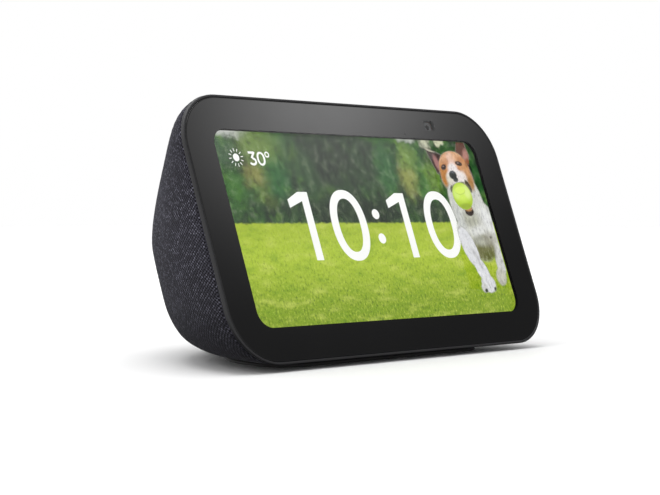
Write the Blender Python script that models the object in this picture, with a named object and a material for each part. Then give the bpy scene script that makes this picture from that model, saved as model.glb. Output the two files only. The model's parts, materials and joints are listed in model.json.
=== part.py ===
"""Countertop smart display: a leaning glass front on a rounded, fabric-covered body.

The display stack is modelled in a frame of its own: X across the face, Y into the body
and Z up the face, under an empty at the face's centre that leans back by LEAN.
All sizes are in metres. The origin is under the middle of the object, on the surface.
"""

import math

import bmesh
import bpy
from mathutils import Vector
from mathutils.geometry import interpolate_bezier

# Driving dimensions: the whole object
FACE_WIDTH = 0.147
FACE_HEIGHT = 0.084
FACE_CORNER = 0.017
BODY_DEPTH = 0.091
LEAN = math.radians(20)
FACE_LIFT = 0.0022

# Rear body: side outline from the face's top edge over the rearmost point to the base
PLAN_POWER = 1.76
TOP_PLAN_POWER = 2.3
TOP_PLAN_START = 0.066
REAR_HEIGHT = 0.0352
TOP_FALL = math.radians(12)
TOP_REACH = 0.045
REAR_REACH_UP = 0.0089
REAR_REACH_DOWN = 0.0036
HEEL_INSET = 0.0102
HEEL_HEIGHT = 0.008
HEEL_SLOPE = math.radians(30)
HEEL_REACH_UP = 0.008
HEEL_REACH_DOWN = 0.0035
BASE_INSET = 0.022
BASE_REACH = 0.003
RINGS_BACK = 13
CORNER_STEPS = 5
TOP_STEPS = 4
SIDE_STEPS = 3

# Walls, covers and clearances
GAP = 0.0003
FABRIC_THICKNESS = 0.0010
SHELL_WALL = 0.0018

# Front frame
RIM_WIDTH = 0.0012
RIM_DEPTH = 0.004
STRIP_HALF = 0.052
STRIP_DEPTH = 0.016
STRIP_THICKNESS = 0.0029
RING_SIDE = 0.0084
RING_END = 0.0065
RING_CORNER = 0.0070

# Glass, gasket, screen and mid plate, counted back from the face
GLASS_THICKNESS = 0.0011
GASKET_THICKNESS = 0.0004
GASKET_EDGE = 0.0008
GASKET_WIDTH = 0.0038
BEZEL_SIDE = 0.01185
BEZEL_END = 0.01118
PANEL_BORDER = 0.0015
PANEL_THICKNESS = 0.0030
PLATE_GAP = 0.0006
PLATE_THICKNESS = 0.0010
PLATE_CLEAR = 0.0014
PLATE_END = 0.0080
PLATE_CORNER = 0.008
PLATE_SCREW_SIDE = 0.0068
PLATE_SCREW_RISE = 0.015
PLATE_SCREW_HEAD = 0.0030
PLATE_SCREW_HEAD_HEIGHT = 0.0009
PLATE_SCREW_HEAD_EDGE = 0.0005
PLATE_SCREW_HEAD_TOP = 0.0020
PLATE_SCREW_SHANK = 0.0014
PLATE_SCREW_BITE = 0.0015
SCREW_HOLE_SLACK = 0.0003

# Electronics behind the mid plate
BOARD_WIDTH = 0.092
BOARD_HEIGHT = 0.046
BOARD_THICKNESS = 0.0012
BOARD_STANDOFF = 0.0048
STANDOFF_DIAMETER = 0.0040
STANDOFF_EDGE = 0.0035
PROCESSOR_SIDE = 0.014
PROCESSOR_THICKNESS = 0.0014
PROCESSOR_X = -0.014
MEMORY_WIDTH = 0.011
MEMORY_HEIGHT = 0.009
MEMORY_THICKNESS = 0.0011
MEMORY_X = 0.006
CAN_WIDTH = 0.040
CAN_HEIGHT = 0.030
CAN_DEPTH = 0.0026
CAN_WALL = 0.0004
RADIO_SIDE = 0.012
RADIO_THICKNESS = 0.0014
ANTENNA_SIZE = (0.0008, 0.010, 0.024)
ANTENNA_CLEAR = 0.0030
ANTENNA_BACK = 0.013

# Top controls
MUTE_X = -0.024
VOLUME_DOWN_X = -0.010
VOLUME_UP_X = 0.004
MICROPHONE_X = (-0.038, 0.018)
MICROPHONE_HOLE = 0.0012
MICROPHONE_SIZE = (0.0035, 0.0026, 0.0010)
BUTTON_DIAMETER = 0.0080
BUTTON_PROUD = 0.0004
BUTTON_FLANGE = 0.0009
BUTTON_FLANGE_THICKNESS = 0.0007
BUTTON_EDGE = 0.0003
BUTTON_DISH = 0.0002
BUTTON_STEM_DIAMETER = 0.0024
BUTTON_STEM_LENGTH = 0.0009
BUTTON_TRAVEL = 0.0006
PLUNGER_DIAMETER = 0.0018
PLUNGER_LENGTH = 0.0014
PLUNGER_SLACK = 0.0003
SWITCH_SIDE = 0.0042
SWITCH_HEIGHT = 0.0017
SWITCH_FLOOR = 0.0004
CONTROL_BOARD_WIDTH = 0.072
CONTROL_BOARD_DEPTH = 0.0070
CONTROL_BOARD_THICKNESS = 0.0010
CONTROL_BOARD_X = -0.010
CONTROL_BOARD_SHIFT = 0.0010

# Camera, its shutter and the light sensor
CAMERA_X = 0.0401
CAMERA_RISE = 0.0352
CAMERA_BODY = (0.0076, 0.0050, 0.0045)
CAMERA_BODY_BACK = 0.0036
LENS_DIAMETER = 0.0040
LENS_DEPTH = 0.0009
SHUTTER_TRAVEL = 0.0050
BLADE_WIDTH = 0.0046
BLADE_HEIGHT = 0.0055
BLADE_THICKNESS = 0.0005
ARM_THICKNESS = 0.0008
KNOB_LENGTH = 0.0070
KNOB_WIDTH = 0.0040
KNOB_PROUD = 0.0006
TRACK_DEPTH = 0.0010
NECK_LENGTH = 0.0030
NECK_WIDTH = 0.0018
LENS_DROP = 0.0004
BAY_LEFT = 0.0075
BAY_RIGHT = 0.0115
SENSOR_X = 0.026
SENSOR_SIZE = (0.0026, 0.0012, 0.0018)

# Speaker and its enclosure
SPEAKER_DIAMETER = 0.044
SPEAKER_HEIGHT = 0.036
FLANGE_THICKNESS = 0.0016
FLANGE_WIDTH = 0.0030
BASKET_DEPTH = 0.010
BASKET_NECK = 0.026
BASKET_WALL = 0.0010
MAGNET_DIAMETER = 0.027
MAGNET_THICKNESS = 0.0060
SURROUND_WIDTH = 0.0034
SURROUND_THICKNESS = 0.0006
SURROUND_RISE = 0.0012
SURROUND_SEAT = 0.0010
CONE_THICKNESS = 0.0006
CONE_DEPTH = 0.0062
DUST_CAP_EDGE_RISE = 0.0016
DUST_CAP_RISE = 0.0022
COIL_DIAMETER = 0.0130
COIL_WALL = 0.0004
COIL_LENGTH = 0.0036
CONE_STROKE = 0.0010
ENCLOSURE_WIDTH = 0.052
ENCLOSURE_DEPTH = 0.0185
ENCLOSURE_WALL = 0.0016
ENCLOSURE_CORNER = 0.006
LID_THICKNESS = 0.0016
SLOT_COUNT = 5
SLOT_PITCH = 0.0060
SLOT_WIDTH = 0.0026
SLOT_CORNER = 0.0012

# Base, foot and their screws
BASE_HALF_WIDTH = 0.049
BASE_FRONT_INSET = 0.0075
BASE_REAR_INSET = 0.0245
BASE_CORNER = 0.010
BASE_STEPS = 18
BASE_FRONT_STEPS = 4
LEAST_CORNER = 0.001
FOOT_THICKNESS = 0.0011
FOOT_INSET = 0.0006
COVER_TOP = 0.0045
LEDGE_THICKNESS = 0.0026
LEDGE_INWARD = 0.008
LEDGE_OUTWARD = 0.006
LEDGE_START = 0.020
BASE_SCREW_HEAD = 0.0036
BASE_SCREW_HEAD_HEIGHT = 0.0012
BASE_SCREW_SHANK = 0.0018
BASE_SCREW_LENGTH = 0.0046
BASE_SCREW_ANGLES = (22, 60, 120, 158)

# Power inlet in the lower rear
RECESS_WIDTH = 0.0152
RECESS_HEIGHT = 0.0076
RECESS_LOW = 0.0066
RECESS_FLOOR_INSET = 0.0190
RECESS_WALL = 0.0014
PANEL_SKIN = 0.0004
JACK_WIDTH = 0.0080
JACK_LENGTH = 0.0069
JACK_BORE = 0.0044
JACK_BORE_DEPTH = 0.0078
JACK_SNOUT = 0.0062
JACK_PIN = 0.0014
JACK_PIN_DROP = 0.0010

# Ribbon from the screen to the board
FLEX_WIDTH = 0.012
FLEX_THICKNESS = 0.0003
FLEX_X = 0.030
FLEX_START = 0.010
FLEX_END = 0.006
FLEX_CLEAR = 0.0012

# Cutters run past what they cut by this much, and helper solids reach into each other by it
PAST = 0.001
FAR_PAST = 0.02

REAR_Y = BODY_DEPTH / 2
FRONT_Y = -BODY_DEPTH / 2
FACE_Y = FRONT_Y + FACE_HEIGHT / 2 * math.sin(LEAN)
FACE_Z = FACE_LIFT + FACE_HEIGHT / 2 * math.cos(LEAN)
TOP_Y = FRONT_Y + FACE_HEIGHT * math.sin(LEAN)
TOP_Z = FACE_LIFT + FACE_HEIGHT * math.cos(LEAN)
CORE = Vector((0, FACE_Y + 0.014, REAR_HEIGHT + 0.002))
STRIP_UNDERSIDE = FACE_HEIGHT / 2 - STRIP_THICKNESS
PANEL_BACK = GLASS_THICKNESS + GAP + PANEL_THICKNESS
PLATE_FRONT = PANEL_BACK + PLATE_GAP
PLATE_BACK = PLATE_FRONT + PLATE_THICKNESS
BOARD_FRONT = PLATE_BACK + BOARD_STANDOFF
BOARD_BACK = BOARD_FRONT + BOARD_THICKNESS
CONE_TURNS = 32
ROUND_STEPS = 28
PLUG_STEPS = 20
WALL_INSET = FABRIC_THICKNESS + GAP
CONTROL_BACK = RIM_DEPTH + GAP + BUTTON_DIAMETER / 2 + BUTTON_FLANGE
JACK_FACE_INSET = RECESS_FLOOR_INSET + RECESS_WALL + GAP
SPEAKER_INSET = JACK_FACE_INSET + JACK_LENGTH + GAP + FLANGE_THICKNESS


def make_material(name, color, roughness, metallic=0.0):
    """A plain Principled BSDF finish."""
    finish = bpy.data.materials.new(name)
    finish.use_nodes = True
    shader = finish.node_tree.nodes["Principled BSDF"]
    shader.inputs["Base Color"].default_value = (*color, 1.0)
    shader.inputs["Roughness"].default_value = roughness
    shader.inputs["Metallic"].default_value = metallic
    return finish


def clear_scene():
    """Remove every object that is already in the scene."""
    for old in list(bpy.data.objects):
        bpy.data.objects.remove(old, do_unlink=True)


def add_object(name, shape, finish, parent=None):
    """Turn a closed bmesh into an object with one finish, its normals facing out."""
    bmesh.ops.triangulate(shape, faces=shape.faces)
    bmesh.ops.recalc_face_normals(shape, faces=shape.faces)
    mesh = bpy.data.meshes.new(name)
    shape.to_mesh(mesh)
    shape.free()
    mesh.shade_smooth()
    mesh.set_sharp_from_angle(angle=math.radians(35))
    if finish:
        mesh.materials.append(finish)
    made = bpy.data.objects.new(name, mesh)
    bpy.context.scene.collection.objects.link(made)
    made.parent = parent
    return made


def lofted(name, rings, finish, parent=None, first_tip=None, last_tip=None, closed=False, mirrored=0):
    """A closed solid through rings of equally many points, ended by a flat cap or a tip.

    With closed, the last ring joins the first one, which makes a ring-shaped solid. The first
    mirrored bands are split along their other diagonal, which keeps a shell's two sides parallel.
    """
    shape = bmesh.new()
    rows = [[shape.verts.new(point) for point in ring] for ring in rings]
    pairs = list(zip(rows, rows[1:]))
    if closed:
        pairs.append((rows[-1], rows[0]))
    for band, (row, following) in enumerate(pairs):
        for i in range(len(row)):
            j = (i + 1) % len(row)
            if band < mirrored:
                shape.faces.new((row[i], row[j], following[i]))
                shape.faces.new((row[j], following[j], following[i]))
            else:
                shape.faces.new((row[i], row[j], following[j]))
                shape.faces.new((row[i], following[j], following[i]))
    for row, tip in ((rows[0], first_tip), (rows[-1], last_tip)):
        if closed:
            continue
        if tip is None:
            shape.faces.new(row)
            continue
        point = shape.verts.new(tip)
        for i in range(len(row)):
            shape.faces.new((row[i], row[(i + 1) % len(row)], point))
    return add_object(name, shape, finish, parent)


def rounded_outline(width, height, radius, steps=CORNER_STEPS, long_steps=1, short_steps=1):
    """Points (a, b) round a rectangle with round corners, counter-clockwise from the right."""
    points = []
    half = (width / 2 - radius, height / 2 - radius)
    for quarter, (side_a, side_b) in enumerate(((1, 1), (-1, 1), (-1, -1), (1, -1))):
        for step in range(steps + 1):
            angle = math.radians(90) * (quarter + step / steps)
            points.append(
                (side_a * half[0] + radius * math.cos(angle), side_b * half[1] + radius * math.sin(angle))
            )
        count = long_steps if quarter in (0, 2) else short_steps
        a0, b0 = points[-1]
        span_a = -2 * side_a * half[0] if quarter in (0, 2) else 0
        span_b = -2 * side_b * half[1] if quarter in (1, 3) else 0
        for step in range(1, count):
            points.append((a0 + span_a * step / count, b0 + span_b * step / count))
    return points


def plate(name, points, near, far, finish, parent=None):
    """An outline in the X-Z plane, extruded along Y from near to far."""
    rings = [[(a, depth, b) for a, b in points] for depth in (near, far)]
    return lofted(name, rings, finish, parent)


def slab(name, points, low, high, finish, parent=None):
    """An outline in the X-Y plane, extruded along Z from low to high."""
    rings = [[(a, b, height) for a, b in points] for height in (low, high)]
    return lofted(name, rings, finish, parent)


def block(name, low, high, finish, parent=None):
    """A box between two opposite corners."""
    points = [(low[0], low[1]), (high[0], low[1]), (high[0], high[1]), (low[0], high[1])]
    return slab(name, points, low[2], high[2], finish, parent)


def turned(name, profile, finish, parent=None, centre=(0, 0, 0), axis="Z", steps=24):
    """A profile of (radius, height) turned about an axis through centre.

    A profile that starts and ends at radius 0 gives a solid; any other is closed into a ring.
    """
    turn = {"Z": lambda r, s, h: (r * math.cos(s), r * math.sin(s), h)}
    turn["Y"] = lambda r, s, h: (r * math.sin(s), h, r * math.cos(s))
    rings = []
    for radius, height in profile:
        if radius > 0:
            angles = [2 * math.pi * i / steps for i in range(steps)]
            rings.append([Vector(centre) + Vector(turn[axis](radius, s, height)) for s in angles])
    if profile[0][0] > 0:
        return lofted(name, rings, finish, parent, closed=True)
    tips = [Vector(centre) + Vector(turn[axis](0, 0, profile[end][1])) for end in (0, -1)]
    return lofted(name, rings, finish, parent, first_tip=tips[0], last_tip=tips[1])


def rod(name, diameter, low, high, finish, parent=None, centre=(0, 0, 0), axis="Z", steps=16):
    """A round rod from low to high along an axis through centre."""
    profile = [(0, low), (diameter / 2, low), (diameter / 2, high), (0, high)]
    return turned(name, profile, finish, parent, centre, axis, steps)


def cut(target, *cutters, keep=False):
    """Subtract helper solids from the target, or keep only what they cover."""
    for cutter in cutters:
        cutter.hide_render = True
        cutter.display_type = "WIRE"
        change = target.modifiers.new(cutter.name, "BOOLEAN")
        change.operation = "INTERSECT" if keep else "DIFFERENCE"
        change.object = cutter
    return target


def join(target, *others):
    """Unite helper solids with the target."""
    for other in others:
        other.hide_render = True
        other.display_type = "WIRE"
        change = target.modifiers.new(other.name, "BOOLEAN")
        change.operation = "UNION"
        change.object = other
    return target


def front_plane(height):
    """Y of the face's plane at a height."""
    return FRONT_Y + (height - FACE_LIFT) * math.tan(LEAN)


def face_half_width(height):
    """Half the face's width at a height, which narrows along its corners."""
    rise = abs(height - FACE_Z) / math.cos(LEAN)
    over = max(rise - (FACE_HEIGHT / 2 - FACE_CORNER), 0)
    return FACE_WIDTH / 2 - FACE_CORNER + math.sqrt(max(FACE_CORNER**2 - over**2, 0))


def side_outline():
    """Points (y, z) of the body behind the face, at mid width, from the top edge to the base."""
    top = Vector((TOP_Y, TOP_Z))
    rear = Vector((REAR_Y, REAR_HEIGHT))
    heel = Vector((REAR_Y - HEEL_INSET, HEEL_HEIGHT))
    base = Vector((REAR_Y - BASE_INSET, FACE_LIFT))
    fall = Vector((math.cos(TOP_FALL), -math.sin(TOP_FALL)))
    down = Vector((-math.sin(HEEL_SLOPE), -math.cos(HEEL_SLOPE)))
    stretches = (
        (top, top + fall * TOP_REACH, rear + Vector((0, REAR_REACH_UP)), rear),
        (rear, rear - Vector((0, REAR_REACH_DOWN)), heel - down * HEEL_REACH_UP, heel),
        (heel, heel + down * HEEL_REACH_DOWN, base + Vector((BASE_REACH, 0)), base),
    )
    points = []
    for stretch in stretches:
        points += [(point.x, point.y) for point in interpolate_bezier(*stretch, 24)]
    return points


SIDE_OUTLINE = side_outline()


def body_depth(height):
    """Depth of the body behind the face's plane at mid width and a height."""
    for (y0, z0), (y1, z1) in zip(SIDE_OUTLINE, SIDE_OUTLINE[1:]):
        if z1 <= height <= z0 and z0 > z1:
            share = (height - z1) / (z0 - z1)
            return y1 + share * (y0 - y1) - front_plane(height)
    return 0.0


def plan_power(height):
    """Power of the level section's superellipse, which is boxier towards the top."""
    share = min(max((height - TOP_PLAN_START) / (TOP_Z - TOP_PLAN_START), 0), 1)
    return PLAN_POWER + (TOP_PLAN_POWER - PLAN_POWER) * share**2


def in_body(point):
    """Whether a point lies inside the body: each level section is half a superellipse."""
    if not FACE_LIFT <= point.z <= TOP_Z:
        return False
    behind = point.y - front_plane(point.z)
    depth = body_depth(point.z)
    half = face_half_width(point.z)
    if behind < 0 or depth <= 0 or half <= 0:
        return False
    power = plan_power(point.z)
    return (abs(point.x) / half) ** power + (behind / depth) ** power <= 1


def surface_point(direction):
    """Where a ray from the core leaves the body."""
    low, high = 0.0, 2 * max(FACE_WIDTH, BODY_DEPTH)
    for _ in range(30):
        middle = (low + high) / 2
        if in_body(CORE + direction * middle):
            low = middle
        else:
            high = middle
    return CORE + direction * low


def to_world(across, back, rise):
    """World place of a point given in the display stack's frame."""
    sine, cosine = math.sin(LEAN), math.cos(LEAN)
    return Vector((across, FACE_Y + back * cosine + rise * sine, FACE_Z - back * sine + rise * cosine))


def body_rings():
    """Rings over the body's surface from the face's outline to the rearmost point."""
    outline = rounded_outline(
        FACE_WIDTH, FACE_HEIGHT, FACE_CORNER, CORNER_STEPS, TOP_STEPS, SIDE_STEPS
    )
    rim = [to_world(a, 0, b) for a, b in outline]
    rear = Vector((0, 1, 0))
    rings = [rim]
    for ring in range(1, RINGS_BACK):
        share = ring / RINGS_BACK
        rings.append([surface_point((p - CORE).normalized().slerp(rear, share)) for p in rim])
    return rings, surface_point(rear)


BODY_RINGS, BODY_TIP = body_rings()


def inset_rings(inset):
    """The body's rings and tip moved inwards along the surface's normals."""
    moved = []
    for k, ring in enumerate(BODY_RINGS):
        before = BODY_RINGS[max(k - 1, 0)]
        after = BODY_RINGS[k + 1] if k + 1 < len(BODY_RINGS) else [BODY_TIP] * len(ring)
        row = []
        for i, point in enumerate(ring):
            around = ring[(i + 1) % len(ring)] - ring[i - 1]
            back = after[i] - before[i]
            row.append(point - back.cross(around).normalized() * inset)
        moved.append(row)
    return moved, BODY_TIP - Vector((0, inset, 0))


def body_solid(name, inset, finish=None):
    """The body as one solid, drawn in by inset."""
    rings, tip = inset_rings(inset)
    return lofted(name, rings, finish, last_tip=tip)


def body_shell(name, inset, wall, finish):
    """A shell over the rear of the body, open at the face."""
    outer, outer_tip = inset_rings(inset)
    inner, inner_tip = inset_rings(inset + wall)
    rings = outer[::-1] + inner
    return lofted(
        name, rings, finish, first_tip=outer_tip, last_tip=inner_tip, mirrored=len(outer) - 1
    )


def room_half_width(back, rise):
    """Half the room inside the rear shell, at a depth behind the face and a height up it."""
    low, high = 0.0, FACE_WIDTH / 2
    for _ in range(30):
        middle = (low + high) / 2
        if in_body(to_world(middle, back, rise)):
            low = middle
        else:
            high = middle
    return low - WALL_INSET - SHELL_WALL


def strip_top(across, back):
    """How far up the face's frame the body's top surface lies, over a point of the top strip."""
    low, high = STRIP_UNDERSIDE, FACE_HEIGHT / 2 + STRIP_THICKNESS
    for _ in range(30):
        middle = (low + high) / 2
        if in_body(to_world(across, back, middle)):
            low = middle
        else:
            high = middle
    return low


def front_zone(name, head, slack):
    """A helper solid over the frame's share of the body: the rim's depth and the top strip."""
    edge = FAR_PAST
    side = FACE_WIDTH / 2 + edge
    end = FACE_HEIGHT / 2 + edge
    zone = block(name, (-side, -edge, -end), (side, RIM_DEPTH + slack, end), None, head)
    low = STRIP_UNDERSIDE - (SHELL_WALL + FABRIC_THICKNESS + 2 * GAP if slack else 0)
    strip = block(
        name + "_strip",
        (-STRIP_HALF - slack, RIM_DEPTH / 2, low),
        (STRIP_HALF + slack, STRIP_DEPTH + slack, end - edge / 2),
        None,
        head,
    )
    return join(zone, strip)


def base_outline(inset):
    """The base's D-shaped outline: a straight front with round corners and a curved rear."""
    half = BASE_HALF_WIDTH - inset
    corner = max(BASE_CORNER - inset, LEAST_CORNER)
    front = FRONT_Y + BASE_FRONT_INSET + inset
    depth = REAR_Y - BASE_REAR_INSET - inset - (front + corner)
    points = []
    for step in range(BASE_STEPS + 1):
        angle = math.pi * step / BASE_STEPS
        cosine, sine = math.cos(angle), math.sin(angle)
        across = math.copysign(abs(cosine) ** (2 / PLAN_POWER), cosine) * half
        points.append((across, front + corner + depth * abs(sine) ** (2 / PLAN_POWER)))
    steps = BASE_FRONT_STEPS
    for side, start, first, last in ((-1, 180, 1, steps), (1, 270, 0, steps - 1)):
        for step in range(first, last + 1):
            angle = math.radians(start + 90 * step / steps)
            x = side * (half - corner) + corner * math.cos(angle)
            points.append((x, front + corner + corner * math.sin(angle)))
    return points


def strip_curve(name, points, width, thickness, finish, parent=None):
    """A thin ribbon of constant thickness along a bent path in the Y-Z plane."""
    sides = ([], [])
    for i, point in enumerate(points):
        before = Vector(points[max(i - 1, 0)])
        after = Vector(points[min(i + 1, len(points) - 1)])
        along = (after - before).normalized()
        across = Vector((-along.y, along.x)) * thickness / 2
        for side, sign in zip(sides, (1, -1)):
            side.append((point[0] + across.x * sign, point[1] + across.y * sign))
    outline = sides[0] + sides[1][::-1]
    rings = [[(x, y, z) for y, z in outline] for x in (-width / 2, width / 2)]
    return lofted(name, rings, finish, parent)


def build_front(head, finishes):
    """Glass, gasket, screen, front frame and the mid plate with its screws."""
    glass = rounded_outline(
        FACE_WIDTH - 2 * RIM_WIDTH, FACE_HEIGHT - 2 * RIM_WIDTH, FACE_CORNER - RIM_WIDTH
    )
    plate("front_glass", glass, 0, GLASS_THICKNESS, finishes["glass"], head)

    gasket_back = GLASS_THICKNESS + GAP + GASKET_THICKNESS
    edge = RIM_WIDTH + GASKET_EDGE
    outer = rounded_outline(FACE_WIDTH - 2 * edge, FACE_HEIGHT - 2 * edge, FACE_CORNER - edge)
    inner_edge = edge + GASKET_WIDTH
    inner = rounded_outline(
        FACE_WIDTH - 2 * inner_edge, FACE_HEIGHT - 2 * inner_edge, FACE_CORNER - inner_edge
    )
    gasket = plate("bezel_gasket", outer, GLASS_THICKNESS + GAP, gasket_back, finishes["rubber"], head)
    cut(gasket, plate("cut_gasket", inner, 0, PLATE_FRONT, None, head))

    panel_width = FACE_WIDTH - 2 * (BEZEL_SIDE - PANEL_BORDER)
    panel_height = FACE_HEIGHT - 2 * (BEZEL_END - PANEL_BORDER)
    panel = rounded_outline(panel_width, panel_height, PANEL_BORDER)
    plate("display_panel", panel, GLASS_THICKNESS + GAP, PANEL_BACK, finishes["screen"], head)

    frame = body_solid("front_frame", 0.0, finishes["frame"])
    cut(frame, front_zone("keep_frame", head, 0.0), keep=True)
    seat = RIM_WIDTH - GAP
    pocket = rounded_outline(FACE_WIDTH - 2 * seat, FACE_HEIGHT - 2 * seat, FACE_CORNER - seat)
    cut(frame, plate("cut_glass_seat", pocket, -PAST, gasket_back + GAP, None, head))
    opening = rounded_outline(
        FACE_WIDTH - 2 * RING_SIDE, FACE_HEIGHT - 2 * RING_END, RING_CORNER
    )
    cut(frame, plate("cut_window", opening, -2 * PAST, RIM_DEPTH + PAST, None, head))

    straight = FACE_HEIGHT / 2 - PLATE_END - PLATE_CORNER
    half = room_half_width(PLATE_BACK, straight) - PLATE_CLEAR
    size = (2 * half, FACE_HEIGHT - 2 * PLATE_END)
    mid = plate(
        "mid_plate", rounded_outline(*size, PLATE_CORNER), PLATE_FRONT, PLATE_BACK,
        finishes["steel"], head,
    )
    across = FACE_WIDTH / 2 - PLATE_SCREW_SIDE
    head_front = PLATE_BACK + GAP
    tip = RIM_DEPTH - PLATE_SCREW_BITE
    places = [(x, z) for x in (-across, across) for z in (-PLATE_SCREW_RISE, PLATE_SCREW_RISE)]
    for number, (x, z) in enumerate(places, 1):
        hole = rod(
            f"cut_plate_screw_{number}", PLATE_SCREW_SHANK + 2 * SCREW_HOLE_SLACK,
            tip - GAP, head_front, None, head, (x, 0, z), "Y",
        )
        cut(mid, hole)
        cut(frame, hole)
        profile = [
            (0, tip), (PLATE_SCREW_SHANK / 2, tip), (PLATE_SCREW_SHANK / 2, head_front),
            (PLATE_SCREW_HEAD / 2, head_front),
            (PLATE_SCREW_HEAD / 2, head_front + PLATE_SCREW_HEAD_EDGE),
            (PLATE_SCREW_HEAD_TOP / 2, head_front + PLATE_SCREW_HEAD_HEIGHT),
            (0, head_front + PLATE_SCREW_HEAD_HEIGHT),
        ]
        turned(f"plate_screw_{number}", profile, finishes["screw"], head, (x, 0, z), "Y", 12)
    return frame, gasket, mid


def build_electronics(head, finishes):
    """Main board on standoffs behind the mid plate, its chips, shield can, radio and antennas."""
    board = rounded_outline(BOARD_WIDTH, BOARD_HEIGHT, 0.002, 2)
    plate("main_board", board, BOARD_FRONT, BOARD_BACK, finishes["board"], head)
    across = BOARD_WIDTH / 2 - STANDOFF_EDGE
    rise = BOARD_HEIGHT / 2 - STANDOFF_EDGE
    for number, (x, z) in enumerate([(x, z) for x in (-across, across) for z in (-rise, rise)], 1):
        rod(
            f"board_standoff_{number}", STANDOFF_DIAMETER, PLATE_BACK + GAP, BOARD_FRONT - GAP,
            finishes["brass"], head, (x, 0, z), "Y", 6,
        )
    half = PROCESSOR_SIDE / 2
    chip_front = BOARD_FRONT - GAP - PROCESSOR_THICKNESS
    block(
        "processor", (PROCESSOR_X - half, chip_front, -half),
        (PROCESSOR_X + half, BOARD_FRONT - GAP, half), finishes["chip"], head,
    )
    block(
        "thermal_pad", (PROCESSOR_X - half, PLATE_BACK + GAP, -half),
        (PROCESSOR_X + half, chip_front - GAP, half), finishes["pad"], head,
    )
    block(
        "memory_chip",
        (MEMORY_X - MEMORY_WIDTH / 2, BOARD_FRONT - GAP - MEMORY_THICKNESS, -MEMORY_HEIGHT / 2),
        (MEMORY_X + MEMORY_WIDTH / 2, BOARD_FRONT - GAP, MEMORY_HEIGHT / 2),
        finishes["chip"], head,
    )
    can_front = BOARD_BACK + GAP
    can_back = can_front + CAN_DEPTH
    can = plate(
        "shield_can", rounded_outline(CAN_WIDTH, CAN_HEIGHT, 0.002, 2), can_front, can_back,
        finishes["steel"], head,
    )
    room = rounded_outline(CAN_WIDTH - 2 * CAN_WALL, CAN_HEIGHT - 2 * CAN_WALL, 0.0016, 2)
    cut(can, plate("cut_can", room, BOARD_BACK, can_back - CAN_WALL, None, head))
    half = RADIO_SIDE / 2
    block(
        "radio_module", (-half, can_front, -half), (half, can_front + RADIO_THICKNESS, half),
        finishes["steel"], head,
    )
    thick, deep, tall = ANTENNA_SIZE
    outermost = room_half_width(ANTENNA_BACK + deep, -tall / 2) - ANTENNA_CLEAR
    for name, side in (("antenna_left", -1), ("antenna_right", 1)):
        centre = side * (outermost - thick / 2)
        block(
            name, (centre - thick / 2, ANTENNA_BACK, -tall / 2),
            (centre + thick / 2, ANTENNA_BACK + deep, tall / 2), finishes["board"], head,
        )


def build_controls(head, frame, finishes):
    """Three push buttons with their switches, two microphones and the board they sit on."""
    flange_top = STRIP_UNDERSIDE - GAP
    flange_low = flange_top - BUTTON_FLANGE_THICKNESS
    stem_low = flange_low - BUTTON_STEM_LENGTH
    plunger_top = stem_low - GAP
    switch_top = plunger_top - BUTTON_TRAVEL - GAP
    board_top = switch_top - SWITCH_HEIGHT - GAP
    buttons = (
        ("mute_button", MUTE_X), ("volume_down_button", VOLUME_DOWN_X), ("volume_up_button", VOLUME_UP_X),
    )
    for name, x in buttons:
        top = strip_top(x, CONTROL_BACK) + BUTTON_PROUD
        place = (x, CONTROL_BACK, 0)
        radius = BUTTON_DIAMETER / 2
        bore = BUTTON_DIAMETER + 2 * GAP
        cut(frame, rod("cut_" + name, bore, flange_low, top + PAST, None, head, place, steps=24))
        profile = [
            (0, stem_low), (BUTTON_STEM_DIAMETER / 2, stem_low), (BUTTON_STEM_DIAMETER / 2, flange_low),
            (radius + BUTTON_FLANGE, flange_low), (radius + BUTTON_FLANGE, flange_top),
            (radius, flange_top), (radius, top - BUTTON_EDGE), (radius - BUTTON_EDGE, top),
            (0, top - BUTTON_DISH),
        ]
        turned(name, profile, finishes["button"], head, place)
        base = name.replace("_button", "")
        plunger_low = plunger_top - PLUNGER_LENGTH
        rod(base + "_plunger", PLUNGER_DIAMETER, plunger_low, plunger_top, finishes["chip"], head, place)
        half = SWITCH_SIDE / 2
        switch = block(
            base + "_switch", (x - half, CONTROL_BACK - half, switch_top - SWITCH_HEIGHT),
            (x + half, CONTROL_BACK + half, switch_top), finishes["steel"], head,
        )
        bore = PLUNGER_DIAMETER + 2 * PLUNGER_SLACK
        cut(switch, rod(
            f"cut_{base}_switch", bore, switch_top - SWITCH_HEIGHT + SWITCH_FLOOR,
            switch_top + PAST, None, head, place,
        ))
    half = CONTROL_BOARD_WIDTH / 2
    front = CONTROL_BACK - CONTROL_BOARD_DEPTH / 2 + CONTROL_BOARD_SHIFT
    block(
        "button_board", (CONTROL_BOARD_X - half, front, board_top - CONTROL_BOARD_THICKNESS),
        (CONTROL_BOARD_X + half, front + CONTROL_BOARD_DEPTH, board_top), finishes["board"], head,
    )
    wide, deep, tall = MICROPHONE_SIZE
    for name, x in zip(("microphone_left", "microphone_right"), MICROPHONE_X):
        low = board_top + GAP
        block(
            name, (x - wide / 2, CONTROL_BACK - deep / 2, low),
            (x + wide / 2, CONTROL_BACK + deep / 2, low + tall), finishes["steel"], head,
        )
        top = strip_top(x, CONTROL_BACK) + PAST
        cut(frame, rod(
            "cut_" + name, MICROPHONE_HOLE, STRIP_UNDERSIDE - PAST, top, None, head,
            (x, CONTROL_BACK, 0), steps=10,
        ))


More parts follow.
